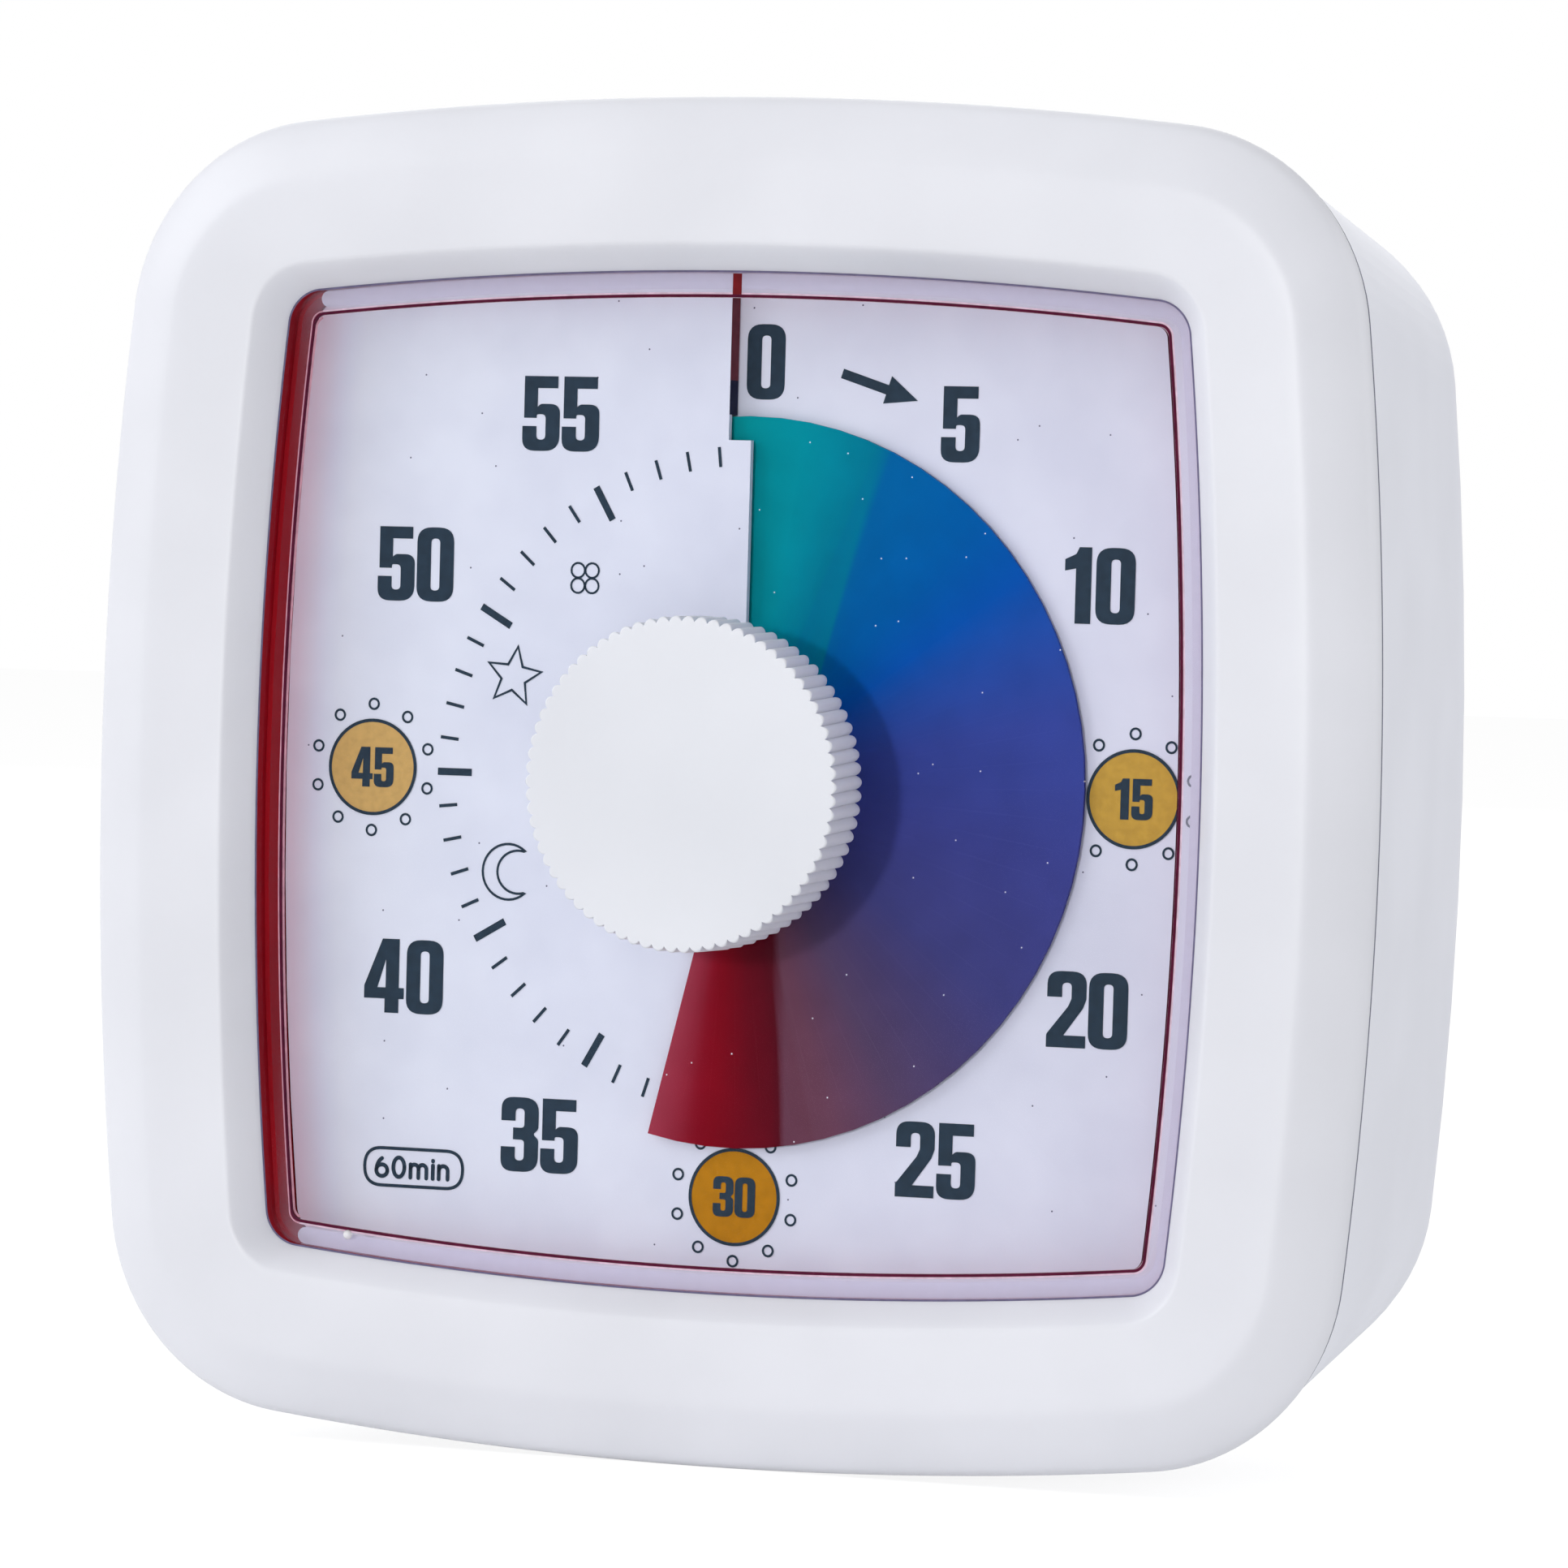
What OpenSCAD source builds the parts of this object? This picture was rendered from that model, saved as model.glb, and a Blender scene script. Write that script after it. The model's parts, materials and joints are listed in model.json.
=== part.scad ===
// Visual countdown timer: a pillow-shaped white case with a printed dial, a coloured disc that
// slides out of a slit at twelve o'clock, a knurled setting knob and a quartz movement behind.
//
// Everything is drawn on the dial axis: x to the right, y up, z out of the dial's face, with
// z = 0 on the dial at twelve o'clock. placed() then stands it up, front towards -Y.

/* [Case] */
// Width across the rim of the bezel
case_w = 78; // [74:0.5:84]
// Height across the rim of the bezel
case_h = 77.4; // [74:0.2:84]
// Bulge radius of each side
side_r = 248; // [200:1:320]
// Corner radius of the rim
corner_r = 12.1; // [10:0.1:14]
// Wall thickness of both shells
wall = 2; // [1.8:0.1:2.2]
// Overlap of the bezel's tongue inside the rear case
tongue_l = 1.6; // [1:0.1:2]
// Clearance between pieces that are fixed to each other
fit = 0.1; // [0.05:0.01:0.15]

/* [Bezel] */
// Height of the parting line above the dial
rim_z = 3.2; // [2.8:0.1:3.4]
// Height of the flat face above the dial
face_z = 6; // [5.8:0.1:6.4]
// Width of the sloped shoulder around the flat face
shoulder_w = 3.9; // [3:0.1:4.5]
// Width of the frame at the sides of the window
frame_w = 10.15; // [9.8:0.05:11.5]
// Height of the frame above and below the window
frame_h = 9.8; // [9.5:0.1:11.2]
// Corner radius of the window
window_r = 2.2; // [1.5:0.1:4]
// Width of the slope that leads down to the window
slope_w = 1.35; // [1:0.05:1.6]
// Radius of the bezel's screw bosses
boss_r = 2.4; // [2:0.1:2.6]
// Height of those bosses above and below the axis
boss_y = 17; // [10:0.5:20]

/* [Rear case] */
// Distance from the dial to the back face
rear_depth = 26.3; // [26:0.1:30]
// How far the sides taper in towards the back
rear_taper = 3.4; // [2.5:0.1:3.8]
// Corner radius of the back
rear_corner_r = 11; // [9:0.1:12]
// Rounding of the back edge
back_round = 3.5; // [2.5:0.1:4]
// Thickness of the back wall
back_t = 2.6; // [2.4:0.1:2.8]
// Distance of the case screws from the rim, sideways
screw_inset_x = 15; // [14:0.1:16]
// Distance of the case screws from the rim, up and down
screw_inset_y = 8.9; // [8.8:0.1:9.4]
// Distance of the rear feet from the middle
foot_x = 18; // [10:0.5:22]
// Distance of the rear feet behind the dial
foot_depth = 18; // [12:0.5:19]
// Radius of a rubber foot
foot_r = 3.5; // [2.5:0.1:4]
// Thickness of a rubber foot
foot_t = 1.5; // [1:0.1:2]

/* [Lens] */
// Height of the lens's front face above the dial
lens_z = 4; // [3.8:0.05:4]
// Thickness at the edge of the lens
lens_edge_t = 0.7; // [0.5:0.05:0.9]
// Height of the raised middle above the edge
lens_step = 0.4; // [0.2:0.05:0.5]
// Distance of the raised middle inside the window
pad_inset = 1.5; // [0.9:0.1:3]
// Corner radius of the raised middle
pad_r = 0.7; // [0.5:0.1:3]
// Radius of the hole for the knob's sleeve
lens_hole_r = 5; // [4.5:0.1:7]

/* [Dial] */
// Thickness of the dial plate and of the coloured disc's slot wall
dial_t = 0.4; // [0.3:0.05:0.45]
// Rise of the dial over one full turn
rise = 1.2; // [1.1:0.05:1.3]
// Wall thickness of the red surround
surround_t = 1; // [0.8:0.05:1.2]
// Radius of the dial's central hole
dial_hole_r = 6.5; // [5.5:0.1:7]
// Distance of the slit to the left of the axis
slit_x = 1.1; // [0.6:0.1:1.4]
// Reach of the cover tab beyond the axis
tab_x = 0.27; // [0.1:0.01:0.6]
// Outer end of the cover tab
tab_r = 19.4; // [15:0.1:20]
// Radius where the open part of the slit ends
slot_r = 22.8; // [21.6:0.1:24]

/* [Coloured disc] */
// Radius of the coloured disc
film_r = 20.8; // [18:0.1:21.2]
// Thickness of the coloured disc
film_t = 0.25; // [0.15:0.01:0.3]
// Angle covered by the coloured disc, in degrees
film_span = 358; // [340:1:358]
// Minutes that the disc shows at rest
set_minutes = 32.3; // [5:0.1:55]
// Radius of the disc's hub
hub_r = 3.2; // [2.8:0.1:3.6]

/* [Knob] */
// Radius of the knob
knob_r = 9.43; // [8:0.01:11]
// Height of the knob's back above the dial
knob_z = 5.73; // [5:0.01:6.5]
// Thickness of the knob
knob_t = 4; // [3:0.1:6]
// Number of scallops around the knob
knob_scallops = 74; // [40:1:90]
// Depth of a scallop
scallop_depth = 0.3; // [0.1:0.05:0.4]
// Radius of the sleeve behind the knob
sleeve_r = 4; // [3:0.1:4.4]
// Radius of the spindle
spindle_r = 1.5; // [1.2:0.1:1.8]
// Depth of the flat on the spindle
flat_depth = 0.35; // [0.2:0.05:0.5]
// Radial running clearance
run = 0.06; // [0.03:0.01:0.09]

/* [Movement] */
// Gear module
gear_m = 0.4; // [0.36:0.01:0.41]
// Teeth of the drive wheel on the spindle
drive_teeth = 40; // [36:1:42]
// Teeth of the second wheel
second_teeth = 30; // [28:1:32]
// Teeth of the first wheel
first_teeth = 50; // [46:1:51]
// Teeth of every pinion
pinion_teeth = 10; // [10:1:11]
// Thickness of a wheel
wheel_t = 0.8; // [0.6:0.05:0.9]
// Thickness of the movement's housing
house_t = 1; // [0.8:0.05:1.2]
// Radius of the wheels' pins
pin_r = 0.4; // [0.3:0.05:0.5]
// Radius of the rotor's magnet
magnet_r = 2.5; // [2:0.1:2.7]

/* [Battery and sound] */
// Radius of the battery
cell_r = 7.15; // [7:0.01:7.25]
// Length of the battery with its nub
cell_l = 50.5; // [49.5:0.1:50.5]
// Clearance around the battery
cell_gap = 0.3; // [0.2:0.05:0.4]
// Thickness of the battery door
door_t = 1.2; // [1:0.05:1.3]
// Thickness of the circuit board
board_t = 1; // [0.8:0.1:1.2]
// Radius of the sounder
sounder_r = 6; // [5:0.1:6.5]
// Travel of the sound switch to each side
switch_travel = 2; // [1:0.1:2.5]
// Height of the switch's slider above the back face
slider_proud = 0.6; // [0.4:0.1:1]

/* [Hidden] */
$fn = 48;
cut = 0.5; // how far a cutting shape runs past the surface it cuts

// Where the dial axis stands in the part's frame
front_reach = knob_z + knob_t;
back_reach = rear_depth + slider_proud;
axis_y = (front_reach - back_reach) / 2;
axis_z = case_h / 2;

// Half sizes of the rim, the window and the lens
rim_a = case_w / 2;
rim_b = case_h / 2;
win_a = rim_a - frame_w;
win_b = rim_b - frame_h;
lip_t = 0.2; // edge of the bezel at the window
lip_z = lens_z - 0.05; // underside of the bezel over the lens
rim_step = 0.15; // shadow line at the parting
tongue_t = 0.9;
tongue_inset = wall - tongue_t;

// Stack behind the lens
lens_edge_z = lens_z - lens_step;
lens_seat_z = lens_edge_z - lens_edge_t;
lens_gap = 0.05;
seat_w = 0.3; // ledge that carries the edge of the lens
film_lift = (rise - dial_t) / 2; // mid-height of the disc above the dial
shelf_gap = 0.05;
shelf_w = 2;
shelf_z = -dial_t - shelf_gap; // shelf of the surround below the dial's lowest edge
carrier_t = 1.5;
carrier_z = -2.1; // front face of the carrier
carrier_back = carrier_z - carrier_t;
boss_x = rim_a - wall - 1.9 - boss_r;
bush_z = carrier_z + 0.4; // where the flat of the spindle begins
sleeve_z = 2.9; // back end of the knob's sleeve
spindle_top = front_reach - 0.9;

// Rear case
front_edge_z = rim_z - 0.1;
back_z = -rear_depth;
floor_z = back_z + back_t;
rear_wall = wall + 0.2;

// Movement: z levels from the dial backwards, and the places of its axes
house_low = 9.6;
house_high = 25;
house_front_z = carrier_back - 0.2;
house_split_z = house_front_z - 5.6;
house_back_z = house_front_z - 12.2;
bush_r = 3;
clip_z = house_front_z - house_t - 0.6;
clip_t = 0.4;
spring_h = 0.6;
drive_z = clip_z - 0.1 - spring_h - 0.1 - wheel_t; // back face of the drive wheel
collar_z = drive_z - 0.1;
collar_t = 0.9;
collar_r = 3;
leaf_gap = 0.15; // alarm contact beside the collar
leaf_t = 0.25;
leaf_low = -8.4;
leaf_high = 2;
leaf_foot_h = 2;
spring_r = 4.5;
pivot_r = 1;
second_wheel_z = collar_z - collar_t - 0.1 - wheel_t;
first_wheel_z = second_wheel_z - 1 - wheel_t;
tooth_fill = 0.42;
pinion_over = 0.3; // how far a pinion runs past the wheel that it meets
drive_r = gear_m * drive_teeth / 2;
second_r = gear_m * second_teeth / 2;
first_r = gear_m * first_teeth / 2;
pinion_r = gear_m * pinion_teeth / 2;
second_dir = 35;
first_dir = 115;
rotor_dir = 195;
second_at = polar(drive_r + pinion_r, second_dir);
first_at = second_at + polar(second_r + pinion_r, first_dir);
rotor_at = first_at + polar(first_r + pinion_r, rotor_dir);
coil_r = 2.3;
coil_room = 1.1; // between the coil and the wall of the housing
stator_a = 4.2; // reach of the stator beyond the rotor's axis, sideways
coil_x = rotor_at.x - stator_a - 1.2 * coil_room - coil_r;
house_a = house_t + coil_room + coil_r - coil_x;
column_r = 2.2;
column_x = house_a - column_r - 0.2;
column_low = house_low - column_r - 0.1;
column_high = house_high - column_r - 0.2;
move_screw_r = 0.85;

// Coil and stator
stator_t = 1.2;
stator_z = house_back_z + house_t + 2.4; // middle of the stator
magnet_top = stator_z + 1.25;
core_w = 1.6;
coil_low = 3.4;
coil_high = 16.4;
bobbin_r = 1.35;
coil_pin_x = [coil_x - 1.3, coil_x + 1.3];
flange_t = 0.8;
stator_gap = 0.7; // air gap around the magnet

// Battery bay, in the lower part of the rear case
bay_wall = 1.2;
contact_t = 0.4;
spring_l = 3.2;
bay_a = (cell_l + spring_l) / 2 + contact_t + 0.15;
bay_b = cell_r + cell_gap;
bay_y = -18.6;
nub_l = 1.3;
door_depth = door_t + fit;
cell_z = back_z + door_depth + cell_gap + cell_r;
bay_front_z = cell_z + cell_r + cell_gap;
door_a = bay_a + 1.2;
door_top = bay_y + bay_b + 1.2;
cell_end = bay_a - contact_t - 0.1; // where the nub ends
cell_start = cell_end - cell_l;
rail_t = 0.45;
rail_back = 0.6; // how far the rails lie inside the back face
rail_low = -30; // lower end of the rails
rail_w = 0.8;
door_slide_gap = 0.15;
tail_top = -8.9;

// Circuit board and what it carries
board_a = 29;
board_low = 8.8;
board_high = 24.5;
board_front_z = house_back_z - 1.6;
board_z = board_front_z - board_t;
stand_x = 25.5;
stand_low = 5.5;
stand_high = 21;
stand_r = 2.2;
small_screw_r = 0.8;
sounder_at = [19.5, 8];
sounder_t = 5;
switch_at = [-17, 8];
switch_a = 4.8;
switch_b = 2.1;
switch_t = 3.4;
stem_a = 0.8;
stem_end_z = board_z - 1.4; // front end of the slider's stem, inside the switch
slider_a = 1.6;
slider_b = 1.2;

// Case screws
screw_x = rim_a - screw_inset_x;
screw_y = rim_b - screw_inset_y;
post_r = 2.4;
post_l = 6;
case_column_r = 2.8;
head_r = 2.1;
head_t = 1.4;
shank_r = 0.95;
seat_t = 2.8; // material under a case screw's head
post_end_z = carrier_back - post_l;

// Small screws, and the parts on the board
small_head_r = 1.6;
small_head_t = 1.1;
small_bite = 4; // how far a small screw reaches into its boss
magnet_under = 1.4; // how far the magnet reaches behind the stator
flange_b = 2; // half height of the flange on the switch's slider
chip_l = 7;
chip_w = 5;
chip_t = 1.2;
chip_at = [4.5, 6.5];
crystal_r = 1;
crystal_l = 6;
crystal_at = [0, -2];
sound_hole_r = 0.8;
foot_stem_r = 1.5;
foot_stem_l = 1.9;

function polar(r, a) = [r * cos(a), r * sin(a)];
function blend(a, b, t) = a + (b - a) * t;
function around(middle, half) = [middle - half, middle + half];

// Centre of the corner arc of a pillow with half sizes a and b, side radius r, corner radius c
function corner_at(a, b, r, c) =
    let (p = r - a, q = r - b, k = pow(r - c, 2), m = q / p, n = (q * q - p * p) / (2 * p) + p,
        y = (sqrt(m * m * n * n - (m * m + 1) * (n * n - k)) - m * n) / (m * m + 1))
    [m * y + n - p, y];

// One quarter of the outline, from the middle of the right side to the middle of the top
function quarter(a, b, r, c, side_n, corner_n) =
    let (o = corner_at(a, b, r, c),
        a1 = atan2(o.y, o.x - (a - r)),
        a2 = atan2(o.y - (b - r), o.x))
    concat(
        [for (k = [0 : side_n - 1]) [a - r, 0] + polar(r, a1 * k / side_n)],
        [for (k = [0 : corner_n]) o + polar(c, blend(a1, a2, k / corner_n))],
        [for (k = [1 : side_n]) [0, b - r] + polar(r, blend(a2, 90, k / side_n))]);

// The whole outline, counterclockwise from the middle of the right side
function pillow(a, b, r, c, side_n = 4, corner_n = 14) =
    let (q = quarter(a, b, r, c, side_n, corner_n), n = len(q))
    concat(q,
        [for (k = [1 : n - 1]) [-q[n - 1 - k].x, q[n - 1 - k].y]],
        [for (k = [1 : n - 1]) [-q[k].x, -q[k].y]],
        [for (k = [1 : n - 2]) [q[n - 1 - k].x, -q[n - 1 - k].y]]);

function at_z(outline, z) = [for (p = outline) [p.x, p.y, z]];

// Outlines at a distance inside the rim (negative is outside), and around the window
function rim(inset) = pillow(rim_a - inset, rim_b - inset, side_r - inset, corner_r - inset);
function window(out) =
    pillow(win_a + out, win_b + out, side_r + out, max(window_r + out, 0.3));
function pad() = pillow(win_a - pad_inset, win_b - pad_inset, side_r, pad_r);

// The rear case tapers from the rim to its back edge
function taper_at(z) = min(1, (front_edge_z - z) / (front_edge_z - back_z - back_round));
function rear(z, inset) =
    let (t = taper_at(z), d = rim_step + 0.1 + rear_taper * t + inset)
    pillow(rim_a - d, rim_b - d, side_r - inset, blend(corner_r, rear_corner_r, t) - inset);
function rear_round(k) = back_round * (1 - cos(k));
function rear_back(k) = back_z + back_round * (1 - sin(k));

// Loops of points joined into one closed skin. Each loop runs counterclockwise as seen from the
// end towards which the loops advance. As a ring, the last loop joins the first.
module skin(loops, ring = false) {
    m = len(loops[0]);
    n = len(loops);
    last = ring ? n - 1 : n - 2;
    sides = [for (j = [0 : last], i = [0 : m - 1])
        let (a = j * m, b = (j + 1) % n * m, i2 = (i + 1) % m)
        each [[a + i, b + i, b + i2], [a + i, b + i2, a + i2]]];
    ends = ring ? [] : [[for (i = [0 : m - 1]) i], [for (i = [m - 1 : -1 : 0]) (n - 1) * m + i]];
    polyhedron([for (l = loops) each l], concat(sides, ends), convexity = 8);
}

// The dial axis stands upright in the part's frame, with the front towards -Y
module placed() {
    translate([0, axis_y, axis_z]) rotate([90, 0, 0]) children();
}

module slab(outline, z_low, z_high) {
    translate([0, 0, z_low]) linear_extrude(z_high - z_low) polygon(outline);
}

module box(x, y, z) {
    translate([x[0], y[0], z[0]]) cube([x[1] - x[0], y[1] - y[0], z[1] - z[0]]);
}

module rod(p, r, z_low, z_high) {
    translate([p.x, p.y, z_low]) cylinder(h = z_high - z_low, r = r);
}

// Clock angle of a point, in degrees from twelve o'clock
function clock_angle(p) = (atan2(p.x, p.y) + 360) % 360;

// Height of the dial's face at a point
function dial_face(p) = rise * clock_angle(p) / 360;

// A helical sheet: clockwise from the first to the last clock angle, between an inner radius and
// the outer points, with its top at rise per turn
module helical_sheet(angles, inner_r, outer, t, lift) {
    skin([for (k = [0 : len(angles) - 1])
        let (a = angles[k], z = rise * a / 360 + lift, p = [inner_r * sin(a), inner_r * cos(a)])
        [[p.x, p.y, z - t], [outer[k].x, outer[k].y, z - t],
            [outer[k].x, outer[k].y, z], [p.x, p.y, z]]]);
}

module bezel_bosses(r, z_low, z_high) {
    for (sx = [-1, 1], sy = [-1, 1]) rod([sx * boss_x, sy * boss_y], r, z_low, z_high);
}

module front_bezel() {
    color("white") placed() difference() {
        union() {
            skin([
                at_z(rim(rim_step), rim_z),
                at_z(rim(0), rim_z + 0.35),
                at_z(rim(0.12), rim_z + 0.85),
                at_z(rim(0.5), rim_z + 1.35),
                at_z(rim(1.5), face_z - 0.85),
                at_z(rim(shoulder_w - 0.5), face_z - 0.1),
                at_z(rim(shoulder_w), face_z),
                at_z(window(slope_w), face_z),
                at_z(window(slope_w * 0.55), face_z - 0.35),
                at_z(window(slope_w * 0.2), face_z - 1.1),
                at_z(window(0), lip_z + lip_t),
                at_z(window(0), lip_z),
                at_z(rim(wall), lip_z),
                at_z(rim(wall), rim_z - tongue_l),
                at_z(rim(tongue_inset), rim_z - tongue_l),
                at_z(rim(tongue_inset), rim_z)
            ], ring = true);
            bezel_bosses(boss_r, carrier_z, lip_z + 0.4);
        }
        bezel_bosses(small_screw_r + run, carrier_z - cut, lip_z - 0.6);
    }
}

// Clear cover with a raised middle, seated on the surround's ledge
module lens_cover() {
    color("lightcyan", 0.4) placed() difference() {
        union() {
            slab(window(-run), lens_seat_z + lens_gap, lens_edge_z);
            slab(pad(), lens_edge_z - 0.1, lens_z - lens_gap);
        }
        rod([0, 0], lens_hole_r, lens_seat_z - cut, lens_z + cut);
    }
}

// Red wall around the dial, with a ledge for the lens and a shelf for the dial plate
module dial_surround() {
    color("firebrick") placed() {
        difference() {
            slab(window(surround_t), carrier_z, lip_z - lens_gap);
            slab(window(-seat_w), carrier_z - cut, lens_seat_z + cut);
            slab(window(0), lens_seat_z, lip_z + cut);
        }
        difference() {
            slab(window(-seat_w + 0.1), carrier_z, shelf_z);
            slab(window(-seat_w - shelf_w), carrier_z - cut, shelf_z + cut);
        }
        for (k = [0 : 7]) dial_pad(45 * k + 22.5);
    }
}

// A pad on the shelf, as high as the dial's underside there
module dial_pad(a) {
    reach = min((win_a - shelf_w) / abs(sin(a)), (win_b - shelf_w) / abs(cos(a)));
    p = [reach * sin(a), reach * cos(a)];
    rod(p, 0.7, shelf_z - 0.2, dial_face(p) - dial_t - shelf_gap);
}

// The dial rises clockwise by one rise in a full turn, so that its two ends overlap at the slit
module dial_plate() {
    edge = window(-seat_w - fit);
    n = len(edge);
    outer = [for (k = [0 : n]) edge[(n / 4 - k + n) % n]];
    angles = [for (k = [0 : n]) k == n ? 360 : clock_angle(outer[k])];
    top_y = outer[0].y - 0.05;
    color("lavender") placed() difference() {
        union() {
            helical_sheet(angles, dial_hole_r, outer, dial_t, 0);
            box([-slit_x - 0.3, 0.02], [dial_hole_r, top_y], [-dial_t, 0]);
            box([-0.1, tab_x], [dial_hole_r, tab_r], [rise - dial_t, rise]);
            box([-slit_x - 0.3, -slit_x], [slot_r, top_y], [-dial_t, rise - 0.01]);
        }
        box([-slit_x, 0.1], [tab_r, top_y + cut], [rise - dial_t - 0.1, rise + cut]);
    }
}

// The disc is a helical sheet of the dial's own pitch. It turns and climbs along the spindle,
// so that it stays in the gap between the dial's two ends at every setting.
module color_disc() {
    steps = ceil(film_span / 5);
    angles = [for (k = [0 : steps]) 6 * set_minutes - film_span * (1 - k / steps)];
    outer = [for (a = angles) [film_r * sin(a), film_r * cos(a)]];
    color("mediumblue") placed()
        helical_sheet(angles, hub_r + fit, outer, film_t, film_lift + film_t / 2);
}

// A round shaft with one flat
module flat_shaft(r, z_low, z_high) {
    difference() {
        rod([0, 0], r, z_low, z_high);
        box([-r - cut, r + cut], [r - flat_depth, r + cut], [z_low - cut, z_high + cut]);
    }
}

// The hub rides on the spindle's flat and carries the inner edge of the disc
module disc_hub() {
    low = film_lift - film_t - rise * (film_span / 360 - set_minutes / 60);
    high = film_lift + film_t + rise * set_minutes / 60;
    color("white") placed() difference() {
        rod([0, 0], hub_r, low, high);
        flat_shaft(spindle_r + run, low - cut, high + cut);
    }
}

// Outline of the knob: a circle with shallow round scallops
function scallops() = [for (k = [0 : 4 * knob_scallops - 1])
    polar(knob_r - scallop_depth * pow(cos(45 * k), 2), 90 * k / knob_scallops)];

module knob() {
    front_t = 1.6;
    skirt_t = 1.4;
    color("white") placed() difference() {
        union() {
            difference() {
                slab(scallops(), knob_z, front_reach);
                rod([0, 0], knob_r - skirt_t, knob_z - cut, front_reach - front_t);
            }
            rod([0, 0], sleeve_r, sleeve_z, front_reach - front_t + 0.1);
        }
        flat_shaft(spindle_r + 0.01, sleeve_z - cut, spindle_top);
    }
}

module spindle() {
    color("silver") placed() {
        flat_shaft(spindle_r, bush_z, spindle_top - 0.1);
        rod([0, 0], spindle_r, collar_z - 0.1, bush_z);
        rod([0, 0], collar_r, collar_z - collar_t, collar_z);
        rod([0, 0], pivot_r, house_back_z + 0.3, collar_z);
    }
}

module spindle_bush() {
    color("goldenrod") placed() difference() {
        rod([0, 0], bush_r, house_front_z - house_t, bush_z - 0.1);
        rod([0, 0], spindle_r + run, house_front_z - house_t - cut, bush_z + cut);
    }
}

// Dished washer that presses the drive wheel against the spindle's collar
module clutch_spring() {
    z = drive_z + wheel_t + 0.1;
    color("silver") placed() difference() {
        translate([0, 0, z]) cylinder(h = spring_h, r1 = spring_r, r2 = spring_r / 2);
        translate([0, 0, z - 0.3]) cylinder(h = spring_h, r1 = spring_r, r2 = spring_r / 2);
        rod([0, 0], spindle_r + run, z - cut, z + spring_h + cut);
    }
}

module clutch_clip() {
    color("silver") placed() difference() {
        rod([0, 0], spindle_r + 1.3, clip_z, clip_z + clip_t);
        rod([0, 0], spindle_r + 0.02, clip_z - cut, clip_z + clip_t + cut);
    }
}

// Involute angle of a gear with pitch radius r at radius q, in degrees
function involute(r, q) =
    let (a = acos(min(1, r * cos(20) / q)))
    tan(a) * 180 / PI - a;

// Outline of a gear with one tooth centred on the angle phase. Teeth fill less than half of the
// pitch, which leaves backlash.
function gear(teeth, phase) =
    let (r = gear_m * teeth / 2,
        radii = [r - 1.1 * gear_m, r - 0.5 * gear_m, r, r + 0.8 * gear_m],
        half = [for (q = radii) tooth_fill * 180 / teeth + involute(r, r) - involute(r, q)])
    [for (k = [0 : teeth - 1])
        let (a = phase + 360 * k / teeth)
        each concat(
            [for (j = [0 : 3]) polar(radii[j], a - half[j])],
            [for (j = [3 : -1 : 0]) polar(radii[j], a + half[j])])];

module gear_slab(at, teeth, phase, z_low, z_high) {
    translate([at.x, at.y, 0]) slab(gear(teeth, phase), z_low, z_high);
}

// Four round holes that lighten a wheel
module wheel_holes(at, r, z) {
    for (k = [0 : 3]) rod(at + polar(0.58 * r, 45 + 90 * k), 0.2 * r, z - cut, z + wheel_t + cut);
}

module drive_wheel() {
    color("ivory") placed() difference() {
        gear_slab([0, 0], drive_teeth, second_dir, drive_z, drive_z + wheel_t);
        rod([0, 0], spindle_r + run, drive_z - cut, drive_z + wheel_t + cut);
    }
}

// A wheel in front of or behind its pinion, on a pin
module wheel_and_pinion(at, teeth, wheel_dir, pinion_dir, wheel_z, pinion_top) {
    placed() difference() {
        union() {
            difference() {
                gear_slab(at, teeth, wheel_dir, wheel_z, wheel_z + wheel_t);
                wheel_holes(at, gear_m * teeth / 2, wheel_z);
            }
            gear_slab(at, pinion_teeth, pinion_phase(pinion_dir), wheel_z + wheel_t / 2, pinion_top);
        }
        rod(at, pin_r + run, wheel_z - cut, pinion_top + cut);
    }
}

// Phase that puts a gap of a pinion on the line to the wheel that drives it
function pinion_phase(dir) = dir + 180 + 180 / pinion_teeth;

module second_wheel() {
    color("white") wheel_and_pinion(second_at, second_teeth, first_dir, second_dir,
        second_wheel_z, drive_z + wheel_t + pinion_over);
}

module first_wheel() {
    color("white") wheel_and_pinion(first_at, first_teeth, rotor_dir, first_dir,
        first_wheel_z, second_wheel_z + wheel_t + pinion_over);
}

module rotor_pinion() {
    color("white") placed() difference() {
        gear_slab(rotor_at, pinion_teeth, pinion_phase(rotor_dir),
            magnet_top, first_wheel_z + wheel_t + pinion_over);
        rod(rotor_at, pin_r + run, magnet_top - cut, first_wheel_z + wheel_t + 1);
    }
}

module rotor_magnet() {
    color("dimgray") placed() difference() {
        rod(rotor_at, magnet_r, stator_z - magnet_under, magnet_top);
        rod(rotor_at, pin_r + run, stator_z - magnet_under - cut, magnet_top + cut);
    }
}

module wheel_pins() {
    color("silver") placed() {
        rod(second_at, pin_r, second_wheel_z - 0.3, house_front_z - house_t);
        rod(first_at, pin_r, house_back_z + house_t, second_wheel_z + wheel_t + pinion_over + 0.2);
        rod(rotor_at, pin_r, house_back_z + house_t, first_wheel_z + wheel_t + pinion_over + 0.2);
    }
}

module stator() {
    right = rotor_at.x + stator_a;
    z = [stator_z - stator_t / 2, stator_z + stator_t / 2];
    window_x = [coil_x + core_w / 2, rotor_at.x - stator_a];
    color("slategray") placed() difference() {
        box([coil_x - core_w / 2, right], [coil_low - 2.5, coil_high + 2.5], z);
        box(window_x, [coil_low, coil_high], [z[0] - cut, z[1] + cut]);
        rod(rotor_at, magnet_r + stator_gap, z[0] - cut, z[1] + cut);
    }
}

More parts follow.
